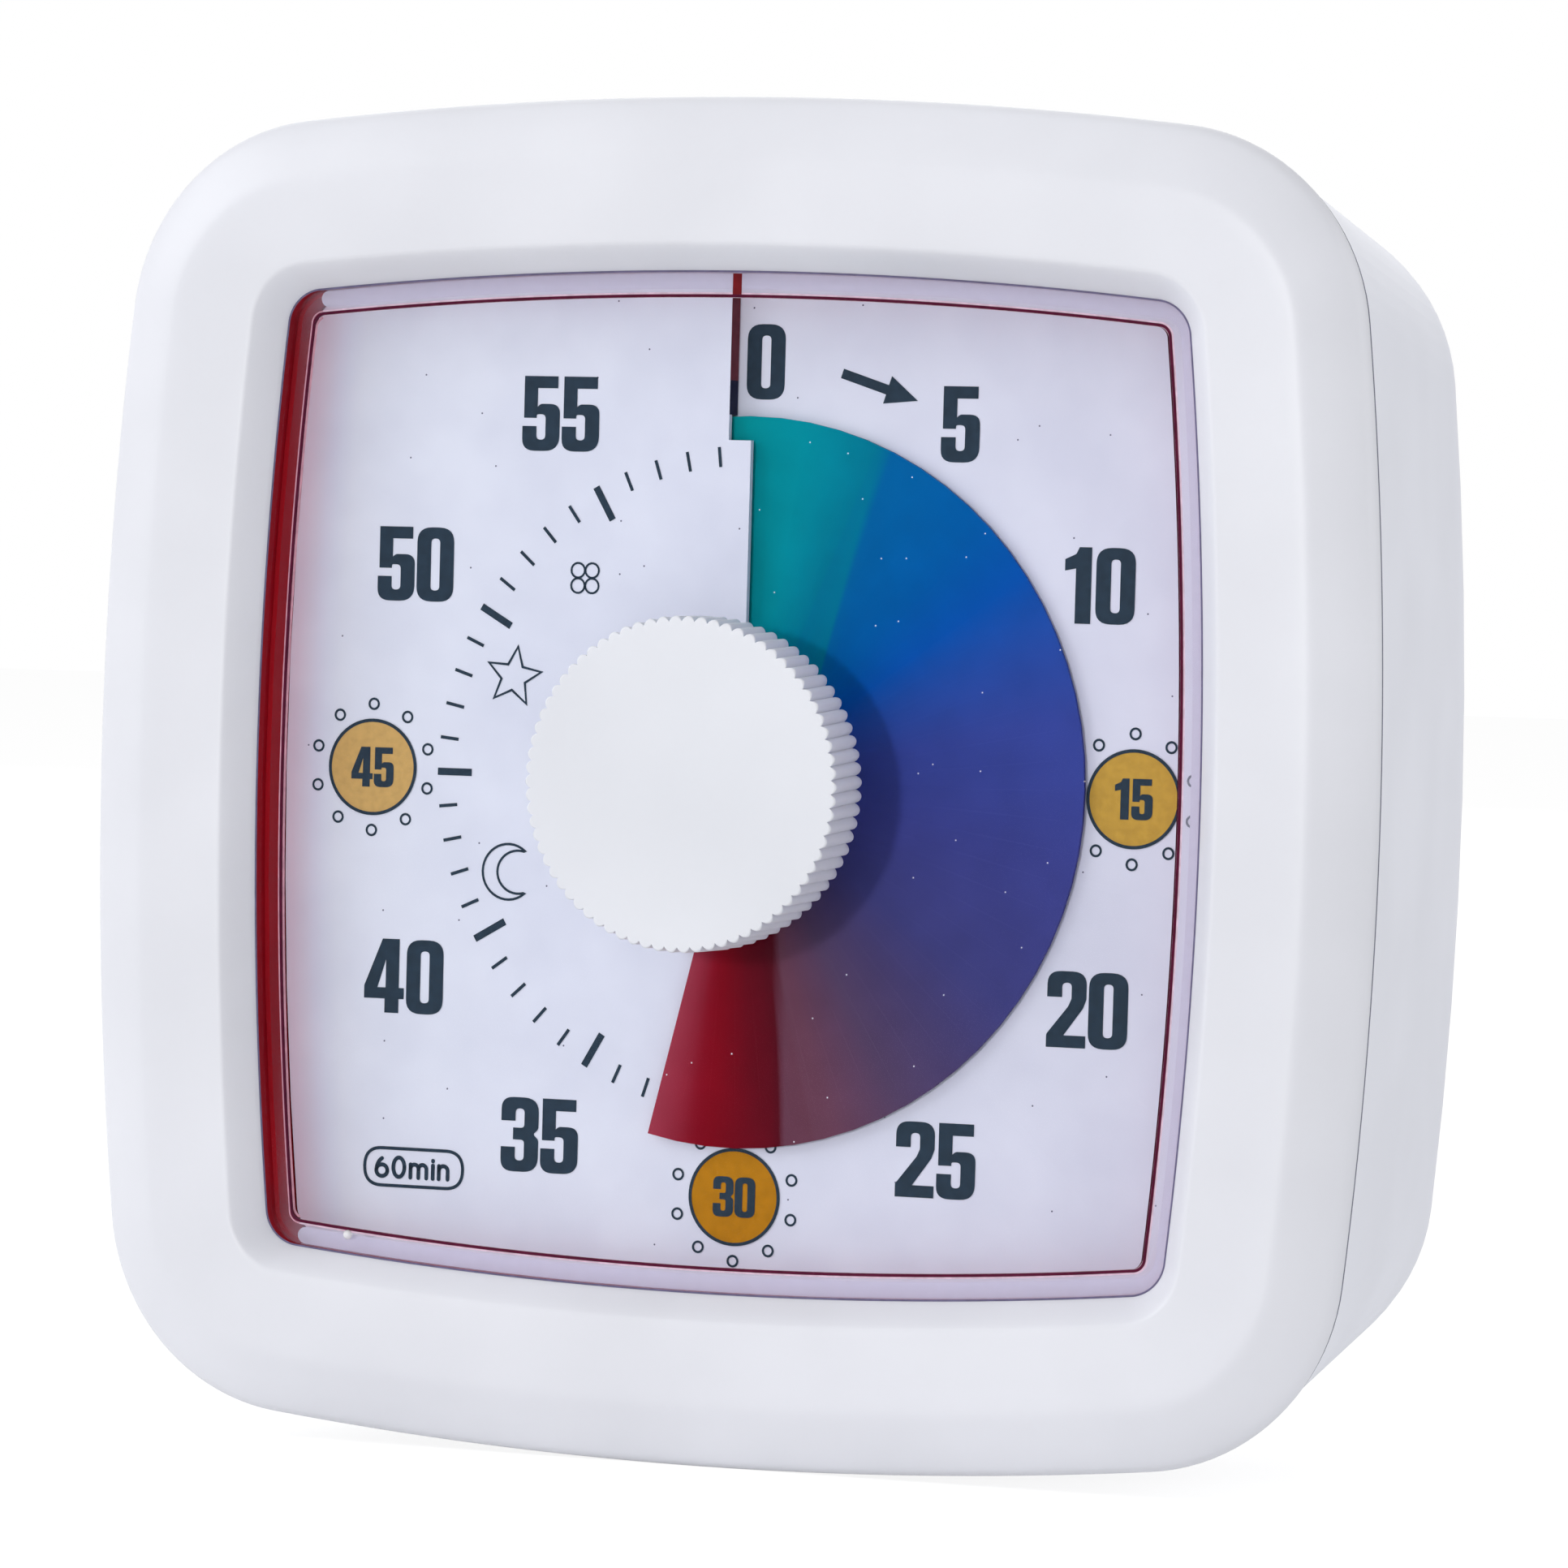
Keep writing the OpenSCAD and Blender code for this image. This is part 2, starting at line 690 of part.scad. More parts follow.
// A cylinder along the coil's axis
module coil_rod(r, y_low, y_high) {
    translate([coil_x, y_low, stator_z]) rotate([-90, 0, 0]) cylinder(h = y_high - y_low, r = r);
}

module coil_bobbin() {
    a = core_w / 2 + fit / 2;
    h = stator_t / 2 + fit / 2;
    color("ivory") placed() {
        difference() {
            union() {
                coil_rod(bobbin_r, coil_low + fit, coil_high - fit);
                coil_rod(coil_r, coil_low + fit, coil_low + flange_t);
                coil_rod(coil_r, coil_high - flange_t, coil_high - fit);
            }
            box([coil_x - a, coil_x + a], [coil_low - cut, coil_high + cut],
                [stator_z - h, stator_z + h]);
        }
        for (x = coil_pin_x) rod([x, coil_high - flange_t / 2], 0.25, board_front_z, stator_z);
    }
}

module coil_winding() {
    color("peru") placed() difference() {
        coil_rod(coil_r - 0.2, coil_low + flange_t, coil_high - flange_t);
        coil_rod(bobbin_r, coil_low, coil_high);
    }
}

// Leaf that feels the cam on the spindle's collar
module alarm_contact() {
    x = -collar_r - leaf_gap;
    color("gold") placed() {
        box([x - leaf_t, x], [leaf_low + leaf_foot_h - 0.1, leaf_high], [collar_z - collar_t, collar_z]);
        box([x - 4 * leaf_t, x], [leaf_low, leaf_low + leaf_foot_h], [house_back_z + house_t, collar_z]);
    }
}

module house_columns(r, z_low, z_high) {
    for (sx = [-1, 1], y = [-column_low, column_high])
        rod([sx * column_x, y], r, z_low, z_high);
}

module movement_front() {
    inner = house_front_z - house_t;
    color("white") placed() difference() {
        union() {
            difference() {
                box([-house_a, house_a], [-house_low, house_high], [house_split_z, house_front_z]);
                box([house_t - house_a, house_a - house_t], [house_t - house_low, house_high - house_t],
                    [house_split_z - cut, inner]);
            }
            house_columns(column_r, house_split_z, inner + 0.1);
        }
        rod([0, 0], bush_r, inner - cut, house_front_z + cut);
        house_columns(move_screw_r + run, house_split_z - cut, house_front_z + cut);
    }
}

module movement_back() {
    inner = house_back_z + house_t;
    top = house_split_z - 0.05;
    color("whitesmoke") placed() difference() {
        union() {
            difference() {
                box([-house_a, house_a], [-house_low, house_high], [house_back_z, top]);
                box([house_t - house_a, house_a - house_t], [house_t - house_low, house_high - house_t],
                    [inner, top + cut]);
            }
            house_columns(column_r, inner - 0.1, top);
            for (y = [coil_low - 1.2, coil_high + 1.2])
                rod([rotor_at.x, y], 0.9, inner - 0.1, stator_z - stator_t / 2 - 0.05);
        }
        rod([0, 0], pivot_r + run, house_back_z - cut, inner + cut);
        house_columns(move_screw_r + run, house_back_z - cut, top + cut);
        for (x = coil_pin_x)
            rod([x, coil_high - flange_t / 2], 0.5, house_back_z - cut, inner + cut);
    }
}

// White plate behind the dial that carries the surround and the movement
module dial_carrier() {
    color("whitesmoke") placed() difference() {
        union() {
            slab(rear(carrier_back, rear_wall + 0.3), carrier_back, carrier_z);
            at_case_screws() rod([0, 0], post_r, post_end_z, carrier_z - 0.1);
        }
        rod([0, 0], bush_r + fit, carrier_back - cut, carrier_z + cut);
        bezel_bosses(small_screw_r + run, carrier_back - cut, carrier_z + cut);
        house_columns(move_screw_r + run, carrier_back - cut, carrier_z - 0.3);
        at_case_screws() rod([0, 0], shank_r + run, post_end_z - cut, post_end_z + post_l - 1);
    }
}

module at_case_screws() {
    for (sx = [-1, 1], sy = [-1, 1]) translate([sx * screw_x, sy * screw_y, 0]) children();
}

module at_board_screws() {
    for (sx = [-1, 1], y = [-stand_low, stand_high]) translate([sx * stand_x, y, 0]) children();
}

// The outside of the rear case, from the back face to the parting line
function rear_outside() = concat(
    [for (k = [90, 67.5, 45, 22.5]) at_z(rear(rear_back(k), rear_round(k)), rear_back(k))],
    [for (t = [1, 0.5, 0]) let (z = blend(front_edge_z, back_z + back_round, t)) at_z(rear(z, 0), z)]);

function rear_inside() =
    let (step_z = rim_z - tongue_l - fit, rebate = rim(tongue_inset - fit))
    concat(
        [at_z(rebate, front_edge_z), at_z(rebate, step_z), at_z(rear(step_z, rear_wall), step_z)],
        [for (t = [0.5, 1]) let (z = blend(step_z, floor_z + 1.5, t)) at_z(rear(z, rear_wall), z)],
        [at_z(rear(floor_z, rear_wall + 1.5), floor_z)]);

module foot_rod(side, r, y_low, y_high) {
    translate([side * foot_x, y_low, -foot_depth]) rotate([-90, 0, 0])
        cylinder(h = y_high - y_low, r = r);
}

module rear_case() {
    bay_top = bay_y + bay_b;
    color("white") placed() difference() {
        union() {
            skin(concat(rear_outside(), rear_inside()));
            box([-bay_a - bay_wall, bay_a + bay_wall], [bay_y - bay_b - bay_wall, bay_top + bay_wall],
                [floor_z - 0.1, bay_front_z + bay_wall]);
            at_case_screws() rod([0, 0], case_column_r, floor_z - 0.1, post_end_z - fit);
            at_board_screws() rod([0, 0], stand_r, floor_z - 0.1, board_z - 0.05);
            for (side = [-1, 1]) foot_rod(side, foot_r + 0.6, foot_t - rim_b, foot_t - rim_b + 3.4);
        }
        box([-bay_a, bay_a], [bay_y - bay_b, bay_top], [back_z - cut, bay_front_z]);
        door_space(door_a + door_slide_gap, door_top + door_slide_gap,
            back_z - cut, back_z + door_depth);
        door_space(door_a + rail_w + door_slide_gap, door_top + door_slide_gap,
            back_z + rail_back - door_slide_gap, back_z + rail_back + rail_t + door_slide_gap);
        for (side = [-1, 1]) tail(side, 0.2);
        at_case_screws() {
            rod([0, 0], head_r + 0.2, back_z - cut, post_end_z - seat_t);
            rod([0, 0], shank_r + 0.3, back_z - cut, post_end_z + cut);
        }
        at_board_screws() rod([0, 0], small_screw_r + run, board_z - small_bite, board_z + cut);
        for (side = [-1, 1])
            foot_rod(side, foot_stem_r + run, foot_t - rim_b - cut, foot_t - rim_b + foot_stem_l + 0.2);
        rod(sounder_at, sound_hole_r, back_z - cut, floor_z + cut);
        for (k = [0 : 5])
            rod(sounder_at + polar(3.25 * sound_hole_r, 60 * k), sound_hole_r,
                back_z - cut, floor_z + cut);
        box(around(switch_at.x, slider_a + switch_travel + 0.2), around(switch_at.y, slider_b + 0.15),
            [back_z - cut, floor_z + cut]);
    }
}

// Space for the battery door, open at the bottom
module door_space(a, top, z_low, z_high) {
    box([-a, a], [-rim_b - 2, top], [z_low, z_high]);
}

// The door follows the rounded back edge at its lower end and slides down on two rails
module battery_door() {
    color("white") placed() {
        difference() {
            intersection() {
                skin(rear_outside());
                door_space(door_a, door_top, back_z - cut, back_z + door_t);
            }
            for (k = [0 : 4])
                box([-6, 6], around(door_top - 3 - 1.2 * k, 0.3), [back_z - cut, back_z + 0.3]);
        }
        for (side = [-1, 1]) translate([side * (door_a + rail_w / 2 - 0.05), 0, 0])
            box([-rail_w / 2 - 0.05, rail_w / 2 + 0.05], [rail_low, door_top - 1],
                [back_z + rail_back, back_z + rail_back + rail_t]);
    }
}

module battery_cell() {
    color("darkgreen") placed() translate([cell_start, bay_y, cell_z]) rotate([0, 90, 0]) {
        cylinder(h = cell_l - nub_l, r = cell_r);
        cylinder(h = cell_l, r = 2.7);
    }
}

// Solder tail of a battery contact, with room around it when it is cut from the case
module tail(side, room) {
    inner = bay_a - contact_t - room;
    outer = bay_a - 0.02;
    box(side > 0 ? [inner, outer] : [-outer, -inner], [bay_y + 5, tail_top + room],
        around(cell_z, 1.5 + room));
}

module contact_plate(side) {
    inner = bay_a - contact_t;
    box(side > 0 ? [inner, bay_a - 0.02] : [0.02 - bay_a, -inner], around(bay_y, 5.5),
        around(cell_z, 5.5));
    tail(side, 0);
}

module battery_plate() {
    color("silver") placed() contact_plate(1);
}

// Conical spring on the negative contact
module battery_spring() {
    turns = 3.5;
    steps = 42;
    wire = 0.35;
    x0 = contact_t - bay_a + wire * 0.6;
    x1 = cell_start - wire - 0.05;
    color("silver") placed() {
        contact_plate(-1);
        translate([0, bay_y, cell_z]) skin([for (k = [0 : steps])
            let (t = k / steps, a = 360 * turns * t, r = blend(4.6, 2.4, t), x = blend(x0, x1, t))
            [for (j = [0 : 5]) let (w = polar(wire, 60 * j))
                [x + w.x, (r + w.y) * cos(a), (r + w.y) * sin(a)]]]);
    }
}

module circuit_board() {
    color("darkgreen") placed() difference() {
        box([-board_a, board_a], [-board_low, board_high], [board_z, board_front_z]);
        at_board_screws() rod([0, 0], small_screw_r + run, board_z - cut, board_front_z + cut);
    }
}

module control_chip() {
    color("black") placed() box(around(chip_at.x, chip_l / 2), around(chip_at.y, chip_w / 2),
        [board_z - chip_t, board_z]);
}

module quartz_crystal() {
    color("silver") placed()
        translate([crystal_at.x - crystal_l / 2, crystal_at.y, board_z - crystal_r - 0.05])
        rotate([0, 90, 0]) cylinder(h = crystal_l, r = crystal_r);
}

module sounder() {
    color("black") placed() difference() {
        rod(sounder_at, sounder_r, board_z - sounder_t, board_z);
        rod(sounder_at, 1, board_z - sounder_t - cut, board_z - sounder_t + 1.5);
    }
}

module switch_body() {
    color("silver") placed() difference() {
        box(around(switch_at.x, switch_a), around(switch_at.y, switch_b),
            [board_z - switch_t, board_z]);
        box(around(switch_at.x, stem_a + switch_travel + 0.15), around(switch_at.y, stem_a + 0.15),
            [board_z - switch_t - cut, stem_end_z + 0.2]);
    }
}

// Slider with a flange inside the case that keeps the slot covered over the whole travel
module switch_slider() {
    reach = slider_a + 2 * switch_travel + 0.2;
    color("dimgray") placed() {
        box(around(switch_at.x, stem_a), around(switch_at.y, stem_a), [floor_z, stem_end_z]);
        box(around(switch_at.x, reach), around(switch_at.y, flange_b), [floor_z + 0.1, floor_z + 0.5]);
        box(around(switch_at.x, slider_a), around(switch_at.y, slider_b),
            [back_z - slider_proud, floor_z + 0.2]);
    }
}

// A pan-head screw whose head lies behind z_seat
module screw(head, head_h, shank, z_seat, length) {
    rod([0, 0], head, z_seat - head_h, z_seat);
    rod([0, 0], shank, z_seat - head_h / 2, z_seat + length);
}

module case_screws() {
    color("silver") placed() at_case_screws()
        screw(head_r, head_t, shank_r, post_end_z - seat_t, seat_t + post_l - 1.5);
}

module carrier_screws() {
    color("silver") placed() for (sx = [-1, 1], sy = [-1, 1])
        translate([sx * boss_x, sy * boss_y, 0])
            screw(small_head_r, small_head_t, small_screw_r, carrier_back, carrier_t + small_bite);
}

module movement_screws() {
    color("silver") placed() for (sx = [-1, 1], y = [-column_low, column_high])
        translate([sx * column_x, y, 0])
            screw(small_head_r, small_head_t, move_screw_r, house_back_z,
                carrier_z - 0.4 - house_back_z);
}

module board_screws() {
    color("silver") placed() at_board_screws() {
        rod([0, 0], small_head_r, board_front_z, board_front_z + small_head_t);
        rod([0, 0], small_screw_r, board_z - small_bite + 0.5, board_front_z + 0.5);
    }
}

module rear_feet() {
    color("dimgray") placed() for (side = [-1, 1]) {
        foot_rod(side, foot_r, -rim_b, foot_t - rim_b);
        foot_rod(side, foot_stem_r, foot_t / 2 - rim_b, foot_t - rim_b + foot_stem_l);
    }
}

front_bezel();
lens_cover();
dial_surround();
dial_plate();
color_disc();
disc_hub();
knob();
spindle();
spindle_bush();
clutch_spring();
clutch_clip();
drive_wheel();
second_wheel();
first_wheel();
rotor_pinion();
rotor_magnet();
wheel_pins();
stator();
coil_bobbin();
coil_winding();
alarm_contact();
movement_front();
movement_back();
dial_carrier();
rear_case();
battery_door();
battery_cell();
battery_spring();
battery_plate();
circuit_board();
control_chip();
quartz_crystal();
sounder();
switch_body();
switch_slider();
case_screws();
carrier_screws();
movement_screws();
board_screws();
rear_feet();
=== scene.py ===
"""Visual countdown timer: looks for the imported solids, in the solids' own frame, in metres."""

import json
import logging
from dataclasses import dataclass, field
from enum import Enum
from math import atan2, cos, degrees, radians, sin, sqrt, tan, tau
from typing import Callable, Iterable, Sequence

import bpy
from mathutils import Matrix, Vector
from mathutils.geometry import tessellate_polygon


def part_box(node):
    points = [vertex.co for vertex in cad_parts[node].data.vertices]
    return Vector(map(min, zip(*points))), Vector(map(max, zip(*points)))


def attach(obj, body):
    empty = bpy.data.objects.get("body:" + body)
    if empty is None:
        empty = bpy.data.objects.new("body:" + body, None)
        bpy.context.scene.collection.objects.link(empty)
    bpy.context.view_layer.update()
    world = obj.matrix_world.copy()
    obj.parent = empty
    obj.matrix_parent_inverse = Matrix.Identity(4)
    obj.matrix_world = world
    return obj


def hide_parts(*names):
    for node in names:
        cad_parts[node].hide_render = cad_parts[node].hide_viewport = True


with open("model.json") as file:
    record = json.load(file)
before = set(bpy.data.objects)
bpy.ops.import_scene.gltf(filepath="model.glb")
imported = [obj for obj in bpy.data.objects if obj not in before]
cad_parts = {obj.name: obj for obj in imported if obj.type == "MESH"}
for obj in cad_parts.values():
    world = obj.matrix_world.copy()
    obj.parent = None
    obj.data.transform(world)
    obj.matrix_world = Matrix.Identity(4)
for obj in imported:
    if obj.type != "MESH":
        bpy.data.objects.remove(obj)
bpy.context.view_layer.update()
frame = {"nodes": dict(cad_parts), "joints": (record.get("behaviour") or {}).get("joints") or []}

LOG = logging.getLogger("timer")
Point = tuple[float, float]
Point3 = tuple[float, float, float]
Sizes = tuple[float, ...]
Row = tuple[Sequence[Point], float]  # an outline and its height
Stops = Sequence[tuple[float, str]]
Tree = bpy.types.NodeTree
Socket = bpy.types.NodeSocket
Outputs = bpy.types.bpy_prop_collection
Height = Callable[[float, float], float]
MM = 0.001

# The dial axis, from the knob's own joint. Local sizes are millimetres on it: x right, y up,
# z out of the dial's face at twelve o'clock.
AXIS = Vector(next(j for j in frame["joints"] if j["name"] == "knob_turn")["pos_m"])
RISE = 1.2  # climb of the dial in one turn
SET_DEGREES = 6 * 32.3  # angle shown at rest
SIDE_R = 248.0  # radius of the bulge in each side of the case


# ---- geometry helpers


def at(x: float, y: float, z: float) -> Vector:
    """The point of the frame at local (x, y, z) in millimetres."""
    return Vector((AXIS.x + x * MM, AXIS.y - z * MM, AXIS.z + y * MM))


def local(corner: Vector) -> Vector:
    """Local millimetres of a point of the frame."""
    d = (corner - AXIS) / MM
    return Vector((d.x, d.z, -d.y))


def local_box(node: str) -> tuple[Vector, Vector]:
    """Lowest and highest corner of a CAD node in local millimetres."""
    a, b = (local(c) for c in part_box(node))
    return Vector(map(min, a, b)), Vector(map(max, a, b))


def blend(a: float, b: float, t: float) -> float:
    """The value a share t of the way from a to b."""
    return a + (b - a) * t


def polar(r: float, angle: float) -> Point:
    """The point at radius r and a clock angle in degrees, clockwise from twelve."""
    a = radians(angle)
    return r * sin(a), r * cos(a)


def dial_height(x: float, y: float) -> float:
    """Height of the helical dial face at a point."""
    return RISE * (degrees(atan2(x, y)) % 360) / 360


def arc(cx: float, cy: float, rx: float, ry: float, start: float, end: float, n: int = 14) -> list[Point]:
    """Points along part of an ellipse, in degrees counterclockwise from the right."""
    angles = (radians(blend(start, end, i / n)) for i in range(n + 1))
    return [(cx + rx * cos(a), cy + ry * sin(a)) for a in angles]


def pillow(a: float, b: float, side_r: float, corner_r: float) -> list[Point]:
    """Outline of a square with bulging sides and round corners.

    Args:
        a: half width.
        b: half height.
        side_r: radius of each side's bulge.
        corner_r: corner radius.

    Returns:
        Points counterclockwise from the middle of the right side.
    """
    side_n, corner_n = 14, 22  # steps along half a side and around a corner
    p, q, k = side_r - a, side_r - b, (side_r - corner_r) ** 2
    m, n = q / p, (q * q - p * p) / (2 * p) + p
    cy = (sqrt(m * m * n * n - (m * m + 1) * (n * n - k)) - m * n) / (m * m + 1)
    cx = m * cy + n - p
    a1, a2 = degrees(atan2(cy, cx + p)), degrees(atan2(cy + q, cx))
    quarter = arc(-p, 0, side_r, side_r, 0, a1, side_n)[:-1]
    quarter += arc(cx, cy, corner_r, corner_r, a1, a2, corner_n)
    quarter += arc(0, -q, side_r, side_r, a2, 90, side_n)[1:]
    top = quarter[:-1] + [(-x, y) for x, y in reversed(quarter[1:])]
    return top + [(-x, -y) for x, y in top]


def level(z: float) -> Height:
    """A height that is the same everywhere."""
    return lambda x, y: z


def circle(r: float, n: int = 96, centre: Point = (0.0, 0.0)) -> list[Point]:
    """A circle's points, counterclockwise from the right."""
    return arc(*centre, r, r, 0, 360, n)[:-1]


def smooth_path(points: Sequence[Point]) -> list[Point]:
    """A smooth curve, in five pieces from point to point.

    Args:
        points: the points that it passes.

    Returns:
        The points of the curve.
    """
    out = []
    last, steps = len(points) - 1, 5
    for i in range(last):
        p0, p1, p2, p3 = (points[max(0, min(last, i + d))] for d in (-1, 0, 1, 2))
        for s in range(steps):
            t = s / steps
            out.append(tuple(0.5 * (2 * b + (c - a) * t + (2 * a - 5 * b + 4 * c - d) * t * t
                                    + (3 * b - a - 3 * c + d) * t ** 3)
                             for a, b, c, d in zip(p0, p1, p2, p3)))
    return out + [points[last]]


def rounded(corners: Sequence[Sequence[float]], steps: int = 6) -> list[Point]:
    """A closed outline with rounded corners.

    Args:
        corners: (x, y) or (x, y, radius) of each corner.
        steps: pieces per rounded corner.

    Returns:
        The outline's points.
    """
    out: list[Point] = []
    n = len(corners)
    for i, corner in enumerate(corners):
        p = Vector(corner[:2])
        if len(corner) < 3:
            out.append(tuple(p))
            continue
        before, after = Vector(corners[i - 1][:2]) - p, Vector(corners[(i + 1) % n][:2]) - p
        half = before.angle(after) / 2
        reach = min(corner[2] / tan(half), before.length * 0.499, after.length * 0.499)
        s, e = p + before.normalized() * reach, p + after.normalized() * reach
        for j in range(steps + 1):
            t = j / steps
            out.append(tuple(s * (1 - t) ** 2 + p * 2 * t * (1 - t) + e * t * t))
    return out


def placed(name: str, data: bpy.types.ID) -> bpy.types.Object:
    """A new object, linked to the scene.

    Args:
        name: name of the object.
        data: what it shows.

    Returns:
        The object.
    """
    obj = bpy.data.objects.new(name, data)
    bpy.context.scene.collection.objects.link(obj)
    return obj


def dress(mesh: bpy.types.Mesh, part: "Part", sharp: float) -> None:
    """Gives a mesh one finish and smooth faces.

    Args:
        mesh: mesh to dress.
        part: its finish.
        sharp: edges that turn by more than this, in degrees, stay sharp.
    """
    mesh.materials.clear()
    mesh.materials.append(part.make())
    mesh.shade_smooth()
    mesh.set_sharp_from_angle(angle=radians(sharp))


class Shape:
    """Points and faces collected in local millimetres, then made into one mesh."""

    def __init__(self) -> None:
        """Starts with nothing."""
        self.points: list[Vector] = []
        self.faces: list[tuple[int, ...]] = []

    def add(self, points: Iterable[Sequence[float]], faces: Iterable[Sequence[int]]) -> "Shape":
        """Adds points and faces.

        Args:
            points: places in local millimetres.
            faces: numbers of the points around each face.

        Returns:
            The shape itself.
        """
        start = len(self.points)
        self.points += [at(*p) for p in points]
        self.faces += [tuple(start + i for i in f) for f in faces]
        return self

    def loft(self, rows: Sequence[Row], ring: bool = False, caps: bool = True) -> "Shape":
        """Joins outlines with equal numbers of points into a skin.

        Args:
            rows: outlines that run counterclockwise as seen from the last one's side, and their heights.
            ring: whether the last outline joins the first.
            caps: whether the two ends are closed.

        Returns:
            The shape itself.
        """
        m, n = len(rows[0][0]), len(rows)
        faces = [(j * m + i, j * m + (i + 1) % m, (j + 1) % n * m + (i + 1) % m, (j + 1) % n * m + i)
                 for j in range(n if ring else n - 1) for i in range(m)]
        if caps and not ring:
            faces += [tuple(reversed(range(m))), tuple(range((n - 1) * m, n * m))]
        return self.add([(x, y, z) for outline, z in rows for x, y in outline], faces)

    def tube(self, outline: Sequence[Point], low: float, high: float) -> "Shape":
        """A straight wall along the outline, open at both ends."""
        return self.loft([(outline, low), (outline, high)], caps=False)

    def flat(self, loops: Sequence[Sequence[Point]], height: Height) -> "Shape":
        """Fills an outline, less its holes, at a height that may change from point to point.

        Args:
            loops: the outline, then its holes.
            height: local z at a point.

        Returns:
            The shape itself.
        """
        flat = [p for loop in loops for p in loop]
        faces = []
        for tri in tessellate_polygon([[Vector((x, y, 0)) for x, y in loop] for loop in loops]):
            a, b, c = (Vector(flat[i]) for i in tri)
            turn = (b - a).cross(c - a)
            if abs(turn) > 1e-9:
                faces.append(tri if turn > 0 else tri[::-1])
        return self.add([(x, y, height(x, y)) for x, y in flat], faces)

    def ribbon(self, path: Sequence[Point], width: float, height: Height, closed: bool = False) -> "Shape":
        """A flat line of one width with round ends.

        Args:
            path: points along the middle.
            width: width in millimetres.
            height: local z at a point.
            closed: whether the path returns to its start.

        Returns:
            The shape itself.
        """
        n, h = len(path), width / 2
        left, right = [], []
        for i, p in enumerate(path):
            a = Vector(path[(i - 1) % n if closed else max(i - 1, 0)])
            b = Vector(path[(i + 1) % n if closed else min(i + 1, n - 1)])
            here = Vector(p)
            d1 = (here - a).normalized() if (here - a).length > 1e-9 else (b - here).normalized()
            d2 = (b - here).normalized() if (b - here).length > 1e-9 else d1
            side = Vector((-(d1 + d2).y, (d1 + d2).x))
            side = side.normalized() if side.length > 1e-6 else Vector((-d1.y, d1.x))
            stretch = min(2.0, 1 / max(0.3, side.dot(Vector((-d1.y, d1.x)))))  # keeps the width at a bend
            left.append(tuple(here + side * h * stretch))
            right.append(tuple(here - side * h * stretch))
        points = [(x, y, height(x, y)) for x, y in right + left]
        faces = [(i, (i + 1) % n, n + (i + 1) % n, n + i) for i in range(n if closed else n - 1)]
        self.add(points, faces)
        if not closed:
            for end, other in ((path[0], path[1]), (path[-1], path[-2])):
                away = degrees(atan2(end[1] - other[1], end[0] - other[0]))
                cap = arc(*end, h, h, away - 90, away + 90, 8)
                self.add([(x, y, height(x, y)) for x, y in cap], [tuple(range(9))])
        return self

    def piece(self, name: str, slot: str, part: "Part", replaces: Sequence[str] = (), sharp: float = 35.0,
              shadow: bool = True, body: str = "case") -> None:
        """Makes the mesh, dresses it and lets it ride.

        Args:
            name: name of the piece.
            slot: material slot of the record; not used.
            part: its finish.
            replaces: CAD nodes that it stands for.
            sharp: edges that turn by more than this, in degrees, stay sharp.
            shadow: whether it keeps lamps' light from what lies behind.
            body: CAD body that it rides on.
        """
        mesh = bpy.data.meshes.new(name)
        mesh.from_pydata(self.points, [], self.faces)
        mesh.validate()
        dress(mesh, part, sharp)
        obj = placed(name, mesh)
        obj.visible_shadow = shadow
        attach(obj, body)
        if replaces:
            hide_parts(*replaces)
        LOG.info("piece %s: %d faces on %s", name, len(mesh.polygons), body)


# ---- material helpers


def linear(hex_colour: str) -> Sizes:
    """Linear colour with alpha 1 of an sRGB hex value such as "e8e9ee"."""
    channels = [int(hex_colour[i:i + 2], 16) / 255 for i in (0, 2, 4)]
    return tuple(c / 12.92 if c <= 0.04045 else ((c + 0.055) / 1.055) ** 2.4 for c in channels) + (1.0,)


def add(tree: Tree, kind: str, links: dict | None = None, **settings: object) -> bpy.types.Node:
    """Adds a node with its settings and links.

    Args:
        tree: node tree of the material.
        kind: node type without its ShaderNode prefix.
        links: input name or number to a socket or a plain value.
        **settings: attributes of the node.

    Returns:
        The new node.
    """
    made = tree.nodes.new("ShaderNode" + kind)
    for name, value in settings.items():
        setattr(made, name, value)
    for name, value in (links or {}).items():
        socket = made.inputs[name]
        if isinstance(value, Socket):
            tree.links.new(value, socket)
        else:
            socket.default_value = value
    return made


def calc(tree: Tree, operation: str, *values: Socket | float) -> Socket:
    """The result of one Math node on sockets or plain numbers."""
    return add(tree, "Math", dict(enumerate(values)), operation=operation).outputs["Value"]


def spread(tree: Tree, value: Socket, low: float, high: float, span: Point = (0.0, 1.0),
           **settings: str) -> Socket:
    """The value, moved so that the ends of its span become low and high."""
    return add(tree, "MapRange", {"Value": value, "From Min": span[0], "From Max": span[1], "To Min": low,
                                  "To Max": high}, **settings).outputs["Result"]


def mix(tree: Tree, share: Socket | float, a: Socket, b: Socket | tuple, kind: str = "MIX") -> Socket:
    """Two colours mixed by a share."""
    return add(tree, "Mix", {"Factor": share, "A": a, "B": b}, data_type="RGBA",
               blend_type=kind).outputs["Result"]


def axes(tree: Tree, place: Socket) -> Outputs:
    """The X, Y and Z of a place."""
    return add(tree, "SeparateXYZ", {"Vector": place}).outputs


def emptied(owner: bpy.types.Material | bpy.types.World) -> Tree:
    """Switches on a node tree and takes out its nodes.

    Args:
        owner: material or world that has the tree.

    Returns:
        The empty tree.
    """
    owner.use_nodes = True
    owner.node_tree.nodes.clear()
    return owner.node_tree


